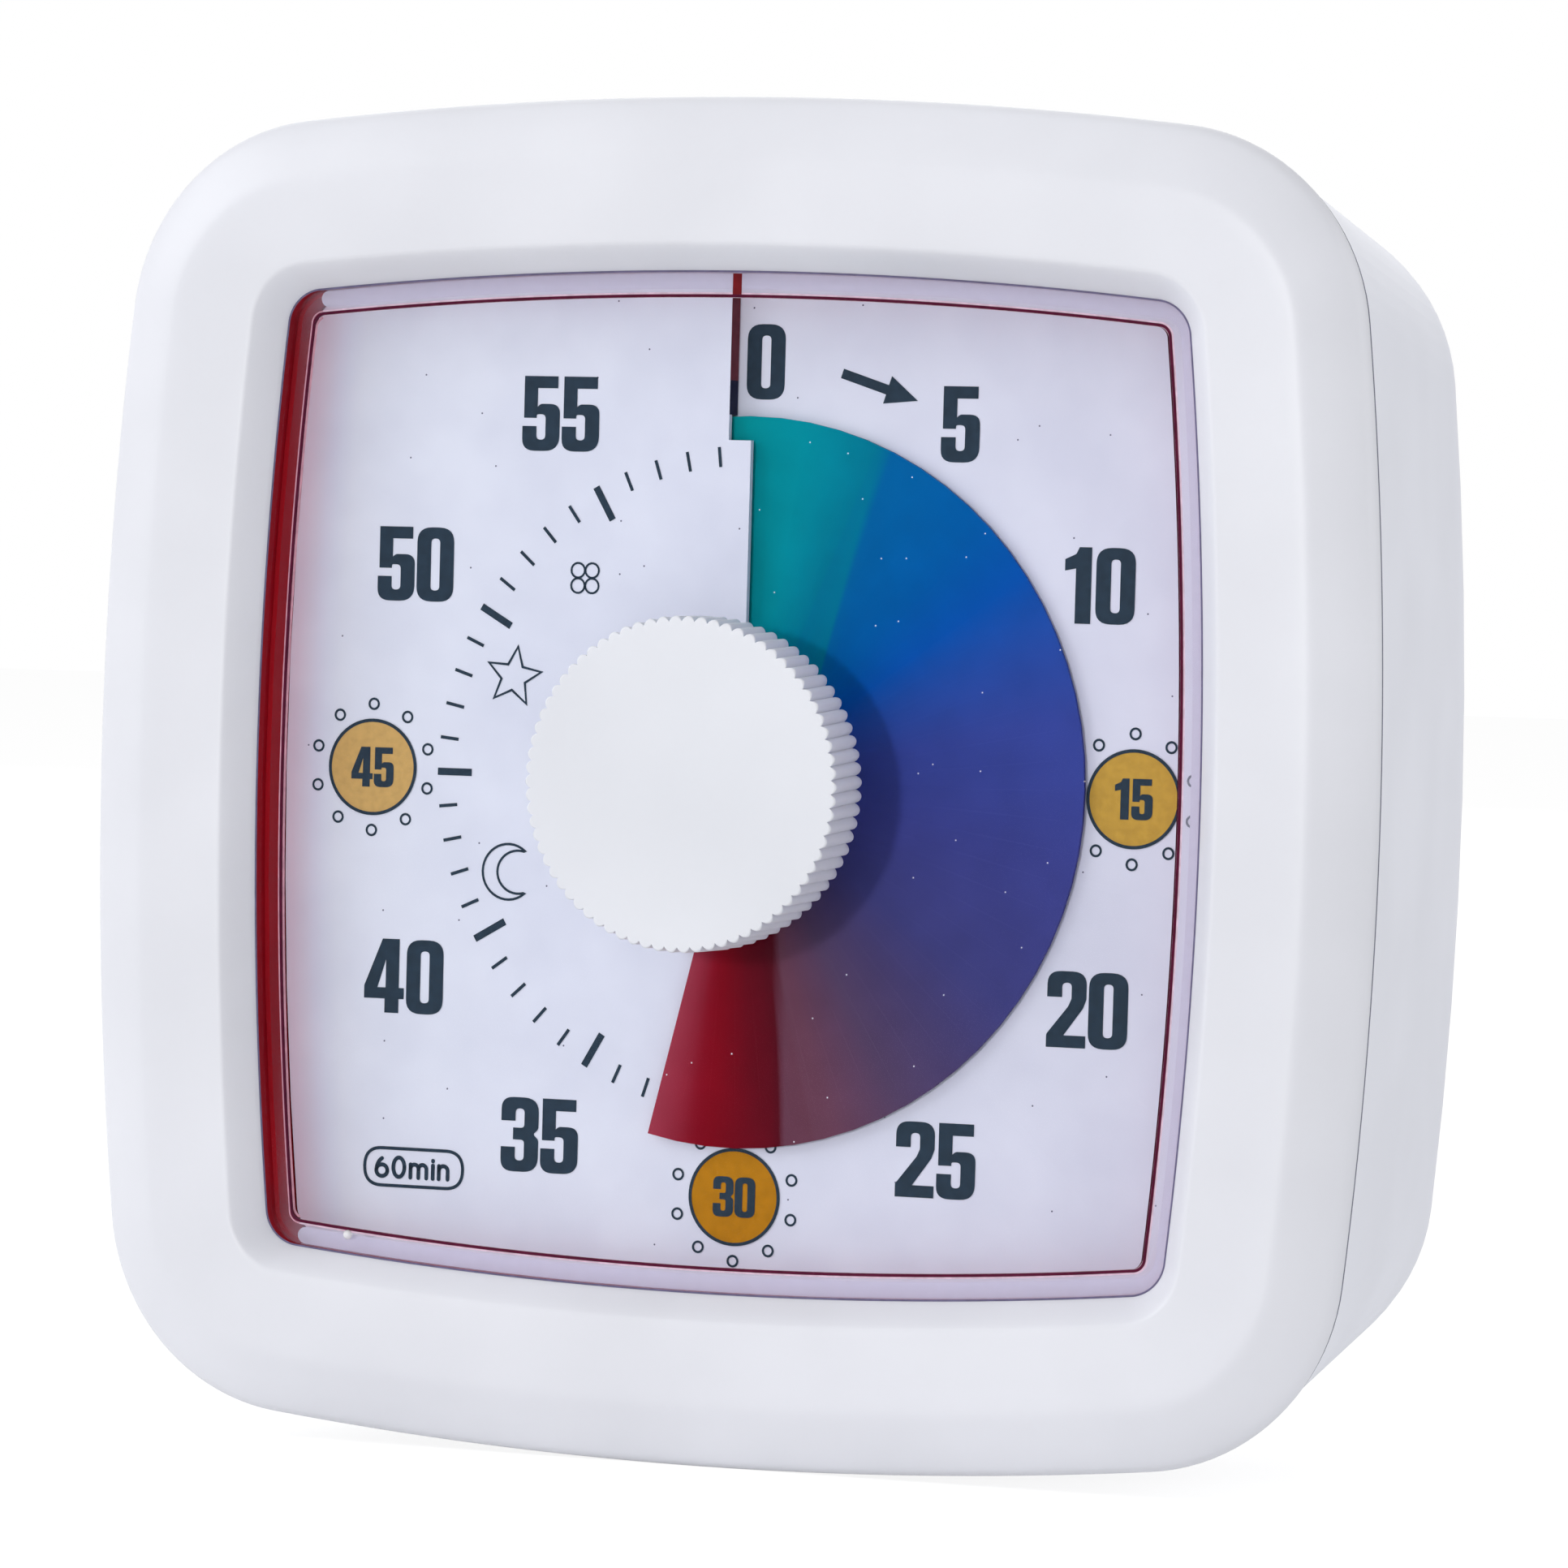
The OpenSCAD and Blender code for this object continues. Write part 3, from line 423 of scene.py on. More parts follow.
def ramp(tree: Tree, factor: Socket, stops: Stops) -> Socket:
    """Colour ramp through the stops.

    Args:
        tree: node tree of the material.
        factor: what drives the ramp.
        stops: place from 0 to 1, and sRGB hex colour.

    Returns:
        The colour socket.
    """
    made = add(tree, "ValToRGB", {"Fac": factor})
    elements = made.color_ramp.elements
    while len(elements) < len(stops):
        elements.new(0.5)
    for element, (place, colour) in zip(elements, stops):
        element.position = place
        element.color = linear(colour)
    return made.outputs["Color"]


def clouded(tree: Tree, noise: Socket, colour: str, change: float, low: float = 0.3) -> Socket:
    """A colour that is slightly uneven.

    Args:
        tree: node tree of the material.
        noise: what makes it darker and lighter.
        colour: sRGB hex colour.
        change: how much darker and lighter, as a share of it.
        low: level of the noise where it is darkest.

    Returns:
        The colour socket.
    """
    channels = [int(colour[i:i + 2], 16) for i in (0, 2, 4)]
    dark, light = ("".join(f"{max(0, min(255, round(c * k))):02x}" for c in channels)
                   for k in (1 - change, 1 + change))
    return ramp(tree, noise, ((low, dark), (1 - low, light)))


def bumped(tree: Tree, height: Socket, strength: float, depth_mm: float) -> Socket:
    """The normal of a surface with a relief."""
    return add(tree, "Bump", {"Height": height, "Strength": strength,
                              "Distance": depth_mm * MM}).outputs["Normal"]


class Finish:
    """What every finish shares: a material made once, with an output and object coordinates."""

    name: str
    roughness: float = 0.5
    ior: float = 1.5
    specular: float = 0.5
    metallic: float = 0.0

    def surface(self, tree: Tree, colour: Socket, rough: Socket | None = None,
                relief: tuple[Socket, float, float] | None = None) -> Socket:
        """The opaque surface of a finish.

        Args:
            tree: node tree of the material.
            colour: its colour.
            rough: its roughness, where that isn't even.
            relief: height, strength and depth in millimetres of its relief.

        Returns:
            The shader socket.
        """
        made = add(tree, "BsdfPrincipled", {
            "Base Color": colour, "Roughness": rough or self.roughness, "IOR": self.ior,
            "Specular IOR Level": self.specular, "Metallic": self.metallic})
        if relief:
            tree.links.new(bumped(tree, *relief), made.inputs["Normal"])
        return made.outputs["BSDF"]

    def material(self) -> bpy.types.Material:
        """Makes the finish's material on first use.

        Returns:
            The material.
        """
        found = bpy.data.materials.get(self.name)
        if found:
            return found
        made = bpy.data.materials.new(self.name)
        tree = emptied(made)
        place = add(tree, "TexCoord").outputs["Object"]
        add(tree, "OutputMaterial", {"Surface": self.shader(tree, place)})
        return made

    def shader(self, tree: Tree, place: Socket) -> Socket:
        """The surface shader; each finish has its own.

        Args:
            tree: node tree of the material.
            place: object coordinates in metres.

        Returns:
            The shader socket.
        """
        raise NotImplementedError


def grain(tree: Tree, place: Socket, size_mm: float, detail: float = 2.0,
          stretch: Point3 = (1, 1, 1)) -> Socket:
    """Noise whose blobs have about a real size.

    Args:
        tree: node tree of the material.
        place: object coordinates in metres.
        size_mm: size of a blob.
        detail: number of finer layers in it.
        stretch: scale of each axis, where more draws the blobs together.

    Returns:
        The noise socket, from 0 to 1.
    """
    mapped = add(tree, "Mapping", {"Vector": place, "Scale": stretch}).outputs["Vector"]
    return add(tree, "TexNoise", {"Vector": mapped, "Scale": 1 / (size_mm * MM),
                                  "Detail": detail}).outputs["Fac"]


@dataclass(frozen=True)
class Solid(Finish):
    """A solid with a fine skin. Its own sizes suit moulded plastic, with a trace of flow clouding."""

    name: str
    colour: str
    roughness: float = 0.42
    rough_range: Sizes = (-0.04, 0.04)
    clouding: float = 0.012
    cloud_mm: float = 14.0
    cloud_low: float = 0.35
    skin_mm: float = 0.16
    skin_depth_mm: float = 0.0025
    skin_strength: float = 0.35
    stretch: Point3 = (1, 1, 1)
    ior: float = 1.53
    specular: float = 0.5

    def shader(self, tree: Tree, place: Socket) -> Socket:
        """A slightly clouded colour under a skin that changes roughness and height.

        Args:
            tree: node tree of the material.
            place: object coordinates in metres.

        Returns:
            The shader socket.
        """
        colour = clouded(tree, grain(tree, place, self.cloud_mm), self.colour, self.clouding, self.cloud_low)
        skin = grain(tree, place, self.skin_mm, 3.0, self.stretch)
        rough = spread(tree, skin, *(self.roughness + change for change in self.rough_range))
        return self.surface(tree, colour, rough, (skin, self.skin_strength, self.skin_depth_mm))


@dataclass(frozen=True)
class Metal(Solid):
    """Bare metal, turned, stamped or plated: fine lines spread its gloss along the tool's path."""

    roughness: float = 0.3
    rough_range: Sizes = (-0.08, 0.1)
    clouding: float = 0.06
    cloud_mm: float = 4.0
    cloud_low: float = 0.3
    skin_mm: float = 0.08
    skin_depth_mm: float = 0.004
    skin_strength: float = 0.3
    stretch: Point3 = (1, 1, 12)
    ior: float = 1.5
    metallic: float = 1.0


@dataclass(frozen=True)
class Ink(Finish):
    """Screen-printed ink: matt, with the slightly uneven cover of a thin film."""

    name: str
    colour: str
    unevenness: float = 0.05
    roughness: float = 0.6
    ior: float = 1.48
    specular: float = 0.1

    def shader(self, tree: Tree, place: Socket) -> Socket:
        """A matt coat whose cover changes over half a millimetre."""
        cover = grain(tree, place, 0.5, 3.0)
        return self.surface(tree, clouded(tree, cover, self.colour, self.unevenness, 0.35))


class Printed(Finish):
    """A printed sheet, whose lacquer or film is mottled and holds rare specks of dust."""

    mottle: tuple[float, float, str]
    cell_mm: float
    speck_size: float
    speck: str

    def dusted(self, tree: Tree, place: Socket, split: Outputs, colour: Socket) -> Socket:
        """The print's colour with the mottling and the specks over it.

        Args:
            tree: node tree of the material.
            place: object coordinates in metres.
            split: their X, Y and Z.
            colour: the print's colour.

        Returns:
            The colour socket.
        """
        blob_mm, detail, shade = self.mottle
        cover = ramp(tree, grain(tree, place, blob_mm, detail), ((0.3, shade), (0.7, "ffffff")))
        mottled = mix(tree, 1.0, colour, cover, "MULTIPLY")
        flat = add(tree, "CombineXYZ", {"X": split["X"], "Y": split["Z"]}).outputs["Vector"]
        cells = add(tree, "TexVoronoi", {"Vector": flat, "Scale": 1 / (self.cell_mm * MM)},
                    voronoi_dimensions="2D")
        near = calc(tree, "LESS_THAN", cells.outputs["Distance"], self.speck_size)
        return mix(tree, near, mottled, linear(self.speck))


@dataclass(frozen=True)
class DialLacquer(Printed):
    """Dial sheet: a pale lilac print under matt lacquer, cooler to the left, with painted pink bounce light
    from the red wall along its left edge.
    """

    name: str = "polystyrene_sheet_screen_printed_dial"
    # the first stops, up to 0.036, paint pink light bounced off the red wall onto the sheet's left edge
    stops: Stops = (
        (0.0, "e2d4e9"), (0.012, "e1dbef"), (0.024, "e1e2f7"), (0.036, "e3e8fb"), (0.05, "e6ebfb"),
        (1.0, "e0e2f6"))
    half_w: float = 28.0
    mottle: tuple[float, float, str] = (5.0, 2.0, "f6f6f8")
    cell_mm: float = 6.5
    speck_size: float = 0.008
    speck: str = "5c5e7c"
    roughness: float = 0.55
    ior: float = 1.49
    specular: float = 0.3

    def shader(self, tree: Tree, place: Socket) -> Socket:
        """A wide colour change across the dial, along the bulge of its sides, with painted pink bounce light
        at its left end, under the dust.

        Args:
            tree: node tree of the material.
            place: object coordinates in metres.

        Returns:
            The shader socket.
        """
        split = axes(tree, place)
        up = calc(tree, "SUBTRACT", split["Z"], AXIS.z)
        square = calc(tree, "MULTIPLY", up, up)
        bent = calc(tree, "MULTIPLY_ADD", square, -0.5 / (SIDE_R * MM), split["X"])
        across = spread(tree, bent, 0.0, 1.0, (-self.half_w * MM, self.half_w * MM))
        return self.surface(tree, self.dusted(tree, place, split, ramp(tree, across, self.stops)))


@dataclass(frozen=True)
class FilmPrint(Printed):
    """Coloured disc: PVC film, satin, with pale specks of dust, printed with a gradient by the minute."""

    name: str = "pvc_film_offset_printed_gradient"
    stops: Stops = (
        (-27.5, "d8a028"), (-20, "9db832"), (-12, "3fa860"), (-4, "0f9a80"), (0.6, "0494a2"), (1.5, "0494a6"),
        (2.5, "048ca4"), (3.7, "047c9c"), (4.0, "0466a8"), (7, "0460b0"), (9, "0a55b4"), (11, "2c4faa"),
        (13, "3b4ba2"), (17, "434998"), (21, "47488a"), (23, "4f4678"), (25, "5a476a"), (27, "6e455b"),
        (27.6, "6e4458"), (28.0, "5a1020"), (29.3, "6c0e1f"), (30.5, "840c1e"), (31.0, "8a1024"),
        (31.7, "982e42"), (32.4, "a43e52"))
    # each edge's lean and its distance from the axis, the minutes on its two sides, and the operation that
    # keeps it to its own part of the print
    edges: tuple[tuple[float, float, float, float, str], ...] = (
        (14.4, 3.3, 3.7, 4.0, "MAXIMUM"), (178.6, -2.53, 27.6, 28.0, "MINIMUM"))
    edge_soft: float = 0.42
    halfway: float = 0.8  # place along the print that parts the first edge from the second
    mottle: tuple[float, float, str] = (2.5, 4.0, "f2f2f2")
    cell_mm: float = 4.4
    speck_size: float = 0.0095
    speck: str = "eef2ff"
    roughness: float = 0.25
    ior: float = 1.52
    specular: float = 0.01

    @staticmethod
    def share_at(minute: float) -> float:
        """Place along the disc's print, from 0 to 1, of a minute as it shows at rest."""
        return (minute - (SET_DEGREES / 6 - 60 + 1 / 6)) / 60

    def stepped(self, tree: Tree, share: Socket, x: Socket, up: Socket) -> Socket:
        """The place along the print, with a jump at each straight edge between two of its colours.

        Args:
            tree: node tree of the material.
            share: place along the print by the angle alone.
            x: distance to the right of the axis.
            up: height over the axis.

        Returns:
            The changed place.
        """
        far = calc(tree, "GREATER_THAN", share, self.halfway)
        for lean, line, before, after, gate in self.edges:
            a, soft = radians(lean), self.edge_soft
            past = calc(tree, "MULTIPLY_ADD", x, cos(a), calc(tree, "MULTIPLY", up, -sin(a)))
            later = spread(tree, past, 0.0, 1.0, ((line - soft) * MM, (line + soft) * MM))
            later = calc(tree, gate, later, far)
            early = calc(tree, "MINIMUM", share, self.share_at(before))
            jump = calc(tree, "SUBTRACT", calc(tree, "MAXIMUM", share, self.share_at(after)), early)
            share = calc(tree, "MULTIPLY_ADD", jump, later, early)
        return share

    def shader(self, tree: Tree, place: Socket) -> Socket:
        """The gradient follows the angle around the disc's own axis.

        Args:
            tree: node tree of the material.
            place: object coordinates in metres.

        Returns:
            The shader socket.
        """
        split = axes(tree, place)
        up = calc(tree, "SUBTRACT", split["Z"], AXIS.z)
        angle = calc(tree, "ARCTAN2", split["X"], up)
        turn = calc(tree, "MULTIPLY_ADD", angle, 1 / tau, 1 - (SET_DEGREES + 1) / 360)
        share = self.stepped(tree, calc(tree, "FRACT", turn), split["X"], up)
        colour = ramp(tree, share, [(self.share_at(m), c) for m, c in self.stops])
        return self.surface(tree, self.dusted(tree, place, split, colour))


@dataclass(frozen=True)
class Clear(Finish):
    """Clear moulded acrylic: the eye sees through it, and it shows itself by gloss and at its edges. It can
    carry a matt painted tint: painted shade with red reflection on the rim, and a painted white highlight on
    the gate bead.
    """

    name: str = "acrylic_clear_moulded"
    roughness: float = 0.04
    face_gloss: float = 0.002
    # share of a matt tint of painted light, its colour, and the span along x over which it fades in from the
    # left
    painted_tint: float = 0.0
    painted_tint_colour: str = "d6d2ea"
    painted_tint_fade_mm: Sizes = (-27.6, -24.0)

    def shader(self, tree: Tree, place: Socket) -> Socket:
        """Gloss that grows towards a grazing view, over a pane that lets light through, with any painted tint
        mixed in.

        Args:
            tree: node tree of the material.
            place: object coordinates in metres.

        Returns:
            The shader socket.
        """
        through = add(tree, "BsdfTransparent", {"Color": (1, 1, 1, 1)}).outputs["BSDF"]
        # painted light: a matt colour mixed into the pane, none of it at the far left
        if self.painted_tint:
            painted_matt = add(tree, "BsdfDiffuse", {"Color": linear(self.painted_tint_colour)}).outputs["BSDF"]
            start, end = (x * MM for x in self.painted_tint_fade_mm)
            share = spread(tree, axes(tree, place)["X"], 0.0, self.painted_tint, (start, end),
                           interpolation_type="SMOOTHSTEP")
            through = add(tree, "MixShader", {0: share, 1: through, 2: painted_matt}).outputs["Shader"]
        wave = bumped(tree, grain(tree, place, 9.0), 0.2, 0.02)
        gloss = add(tree, "BsdfGlossy", {"Roughness": self.roughness, "Normal": wave}).outputs["BSDF"]
        slant = add(tree, "LayerWeight", {"Blend": 0.5}).outputs["Facing"]
        share = spread(tree, calc(tree, "POWER", slant, 5.0), self.face_gloss, 0.9)
        return add(tree, "MixShader", {0: share, 1: through, 2: gloss}).outputs["Shader"]


@dataclass(frozen=True)
class Wrapped(Finish):
    """Battery sleeve: glossy printed film with a band of a second colour at one end."""

    name: str = "pvc_sleeve_printed_cell"
    colour: str = "23402f"
    band: str = "b9bdc2"
    band_from_mm: float = 14.0
    roughness: float = 0.25
    ior: float = 1.53

    def shader(self, tree: Tree, place: Socket) -> Socket:
        """Two plain colours along the cell under gloss.

        Args:
            tree: node tree of the material.
            place: object coordinates in metres.

        Returns:
            The shader socket.
        """
        banded = calc(tree, "GREATER_THAN", axes(tree, place)["X"], self.band_from_mm * MM)
        sleeve = clouded(tree, grain(tree, place, 3.0), self.colour, 0.05)
        return self.surface(tree, mix(tree, banded, sleeve, linear(self.band)))


class Part(Enum):
    """The timer's finishes, one for each thing that the eye tells apart."""

    BEZEL = Solid("abs_white_moulded_bezel", "e6e7ee", 0.4)
    REAR = Solid("abs_white_moulded_rear_case", "edeff9", 0.46)
    KNOB = Solid("abs_white_moulded_knob", "e5e7ee", 0.5)
    HUB = Solid("polypropylene_white_moulded_hub", "e4e4e4", 0.5)
    HOUSING = Solid("polypropylene_natural_moulded_housing", "d2d5da", 0.5)
    GEAR = Solid("acetal_natural_moulded_gears", "e3e0d4", 0.38, skin_mm=0.3)
    RED = Solid("abs_red_moulded_surround", "9c0c1c", 0.4, clouding=0.05, specular=0.06)
    SLIDER = Solid("abs_dark_grey_moulded_slider", "45464a", 0.45)
    FOOT = Solid("silicone_rubber_grey_moulded_foot", "4c4d51", 0.75, skin_mm=0.3, skin_depth_mm=0.01)
    FERRITE = Solid("ferrite_pressed_magnet", "3a3a3e", 0.6, clouding=0.08, cloud_mm=0.6)
    BOARD = Solid("solder_mask_green_on_glass_fibre", "1f6038", 0.3, clouding=0.08, cloud_mm=1.2)
    CHIP = Solid("epoxy_black_moulded_chip", "26262a", 0.55, skin_depth_mm=0.006)
    SOUNDER = Solid("pbt_black_moulded_sounder", "1d1d20", 0.3)
    DIAL = DialLacquer()
    FILM = FilmPrint()
    LENS = Clear()
    # the rim's tint is painted shade with red reflection, left off at the left wall where the red wall itself
    # shows
    LENS_RIM = Clear("acrylic_clear_rim_with_painted_tint", painted_tint=0.3)
    CELL = Wrapped()
    STEEL = Metal("steel_zinc_plated_turned", "bcbec2", 0.3)
    SPRING = Metal("spring_steel_stamped", "a9abae", 0.35)
    CORE = Metal("electrical_steel_stamped", "8f9298", 0.45)
    NICKEL = Metal("brass_nickel_plated_contacts", "cfccc4", 0.22)
    BRASS = Metal("brass_turned", "c8a45c", 0.25)
    COPPER = Metal("copper_enamelled_wire", "a9542c", 0.35, skin_mm=0.12, stretch=(1, 1, 1))
    INK = Ink("ink_slate_screen_printed", "2b3b4b")
    # three tones of one ochre print, one for each golden disc: GOLD_LIGHT at 15, GOLD at 30, GOLD_PALE at 45,
    # each set to how that disc looks in place
    GOLD = Ink("ink_ochre_screen_printed", "b87c12", unevenness=0.03)
    GOLD_LIGHT = Ink("ink_light_ochre_screen_printed", "c69d45", unevenness=0.03)
    GOLD_PALE = Ink("ink_pale_ochre_screen_printed", "cda768", unevenness=0.03)
    LINE = Ink("dark_red_wall_seen_in_the_step", "5c1434")
    # painted pink glow: red light from the wall, painted beside the step
    PINK_GLOW = Ink("painted_pink_glow_beside_the_step", "e2c6d8")
    # painted glint: pale lines along the step at the left
    GLINT = Ink("painted_glint_on_the_step_at_the_left", "cf97aa")
    BAND_RED = Ink("red_of_the_slit_seen_through_the_edge", "74161d")
    # painted shade: a dark line where the gap around the cover lies in shade
    OUTLINE = Ink("painted_shade_in_the_gap_around_the_cover", "6c6684")
    # the gate bead's white matt tint is a painted highlight
    GATE = Clear("acrylic_gate_mark_with_painted_highlight", painted_tint=0.75, painted_tint_colour="ffffff", painted_tint_fade_mm=(-60.0, -50.0))
    SEAM = Ink("shaded_gap_at_the_parting_line", "747486")
    # painted shade with a little red bounce: the greyed lilac band over the ledge under the cover's edge
    LEDGE_SHADE = Ink("painted_shade_over_the_ledge_under_the_cover", "d3d1e6", unevenness=0.01)
    GAP = Ink("shaded_gap_under_the_dial", "10163a")
    GAP_RED = Ink("shaded_wall_under_the_dial", "70303c")

    def make(self) -> bpy.types.Material:
        """The material of this finish."""
        return self.value.material()


# ---- sub-assemblies


@dataclass
class Case:
    """The white case: a smooth bezel made in place of its solid, and the shaded gap at its parting line; the
    rear case with its door and feet keeps its own solid.
    """

    half_w: float = local_box("front_bezel")[1].x
    half_h: float = local_box("front_bezel")[1].y
    back: float = local_box("front_bezel")[0].z
    corner_r: float = 12.1
    window: Sizes = (28.85, 28.9, 2.2)
    gap_inset: float = 0.12
    gap_w: float = 0.2
    wall: float = 2.0
    tongue: Sizes = (1.1, 1.6)
    boss: Sizes = (32.7, 17.0, 2.4)
    lip: float = 3.95
    shoulder: tuple[Point, ...] = (
        (0.45, 3.2), (0.14, 3.36), (0.0, 3.62), (0.12, 4.05), (0.5, 4.55), (1.5, 5.15), (2.5, 5.58),
        (3.4, 5.9), (4.1, 5.985), (5.0, 6.0))
    slope: tuple[Point, ...] = (
        (1.7, 6.0), (1.5, 5.97), (1.3, 5.86), (0.95, 5.5), (0.5, 4.92), (0.15, 4.42), (0.0, 4.15))

    def rim(self, inset: float) -> list[Point]:
        """Outline at a distance inside the rim."""
        return pillow(self.half_w - inset, self.half_h - inset, SIDE_R - inset, self.corner_r - inset)

    def opening(self, out: float) -> list[Point]:
        """Outline at a distance outside the window."""
        a, b, r = self.window
        return pillow(a + out, b + out, SIDE_R + out, max(r + out, 0.3))

    def build(self) -> None:
        """Makes the bezel in place of its solid, and a strip of painted shade in the gap behind it."""
        parting = self.shoulder[0][1]
        inset, deep = self.tongue
        rows = [(self.rim(i), z) for i, z in smooth_path(self.shoulder)]
        rows += [(self.opening(o), z) for o, z in smooth_path(self.slope)] + [(self.opening(0), self.lip)]
        rows += [(self.rim(i), z) for i, z in ((self.wall, self.lip), (self.wall, parting - deep),
                                               (inset, parting - deep), (inset, parting))]
        shell = Shape().loft(rows, ring=True)
        # painted shade: a dark strip in the parting line's gap
        gap = Shape().tube(self.rim(self.gap_inset), parting - self.gap_w, parting)
        gap.piece("parting_gap", "case_white", Part.SEAM)
        x, y, r = self.boss
        for centre in ((-x, -y), (-x, y), (x, -y), (x, y)):
            boss = circle(r, 32, centre)
            shell.loft([(boss, self.back), (boss, self.lip)])
        shell.piece("bezel_shell", "case_white", Part.BEZEL, ["front_bezel"], sharp=40)


@dataclass
class Cover:
    """The clear cover: a thin plate with a raised square middle, its gate bead, and flat lines of painted
    light and shade at its edges.
    """

    inset: float = 1.5
    pad_corner: float = 0.7
    edge_z: float = 3.6
    bevel: float = 0.3
    line_w: float = 0.17
    bare_x: float = 3.25
    slit_view: Point = (-0.09, 0.46)
    bead: Sizes = (-22.5, -26.8, 0.28)  # its middle and radius
    hole_r: float = 5.0
    case: Case = field(default_factory=Case)

    def middle(self, inset: float) -> list[Point]:
        """Outline of the raised middle, less an inset."""
        a, b, _ = self.case.window
        return pillow(a - self.inset - inset, b - self.inset - inset, SIDE_R, self.pad_corner)

    def build(self) -> None:
        """Makes the pane, its clear rim with a painted tint, the dark line at the step with the other painted
        lines, and the gate bead.
        """
        low, high = local_box("lens_cover")
        top, hole = self.middle(self.bevel / 2), circle(self.hole_r, 96)
        pane = Shape().loft([(self.middle(0), self.edge_z), (self.middle(0), high.z - self.bevel / 3),
                             (top, high.z)], caps=False)
        pane.flat([top, hole], level(high.z))
        pane.tube(hole[::-1], low.z, high.z)
        pane.piece("clear_pane", "lens_clear", Part.LENS, ["lens_cover"], shadow=False)
        plate, under = self.case.opening(-0.06), self.edge_z - 0.1
        rim = Shape().tube(plate, low.z, under)
        rim.loft([(plate, under), (self.case.opening(-0.16), self.edge_z),
                  (self.middle(0), self.edge_z)], caps=False)
        rim.piece("clear_rim", "lens_clear", Part.LENS_RIM, shadow=False)
        self.lines(low, high)
        # the gate bead, shown by a painted white highlight
        x, y, r = self.bead
        dome = (polar(r, 90 - a) for a in (0, 20, 40, 60, 80))
        bead = Shape().loft([(circle(out, 20, (x, y)), self.edge_z + up) for out, up in dome])
        bead.piece("gate_bead", "lens_clear", Part.GATE)

    def open_left(self, outline: list[Point]) -> list[Point]:
        """The outline without its left side, where the red wall shows through."""
        start = outline.index(min(outline))
        return [p for p in outline[start:] + outline[:start] if p[0] > self.bare_x - self.case.window[0]]

    def lines(self, low: Vector, high: Vector) -> None:
        """Makes the lines that the eye sees at the step and around the cover: the red wall seen in the step,
        a painted pink glow beside it, painted glints at the left, painted shade in the gap around the cover
        and over the ledge under it, and the red slit seen through the rim.

        Args:
            low: lowest corner of the cover.
            high: its highest corner.
        """
        opening, edge = self.case.opening, self.edge_z
        step = Shape().ribbon(self.middle(-self.line_w / 2), self.line_w, level(edge + 0.03), True)
        step.tube(self.middle(0.01), edge, high.z - self.bevel / 3)
        # painted pink glow beside the step, left open at the left
        pink_glow = Shape().ribbon(self.open_left(self.middle(-0.12)), 0.3, level(edge + 0.02))
        # painted glints: two pale lines on the left part of the step
        glint = Shape()
        for inset, width in ((-0.21, 0.08), (0.1, 0.14)):
            left = [p for p in self.middle(inset) if p[0] < self.bare_x - self.case.window[0]]
            glint.ribbon(left, width, level(edge + 0.04))
        # painted shade in the gap between the cover and the bezel
        around = Shape().ribbon(opening(-0.05), 0.12, level(edge + 0.53), True)
        # painted shade over the ledge under the cover's edge, open at the left
        ledge_shade = Shape().ribbon(self.open_left(opening(-0.54)), 0.96, level(low.z + 0.02))
        x0, x1 = self.slit_view
        y0, y1 = (max(y for _, y in outline) for outline in (self.middle(-0.17), opening(-0.15)))
        strip = Shape().flat([[(x0, y0), (x1, y0), (x1, y1), (x0, y1)]], level(edge + 0.03))
        for name, shape, part in (
                ("step_line", step, Part.LINE), ("step_painted_glow", pink_glow, Part.PINK_GLOW),
                ("cover_outline", around, Part.OUTLINE), ("cover_seat_shade", ledge_shade, Part.LEDGE_SHADE),
                ("step_glint", glint, Part.GLINT), ("slit_in_the_band", strip, Part.BAND_RED)):
            shape.piece(name, "lens_clear", part, shadow=False)


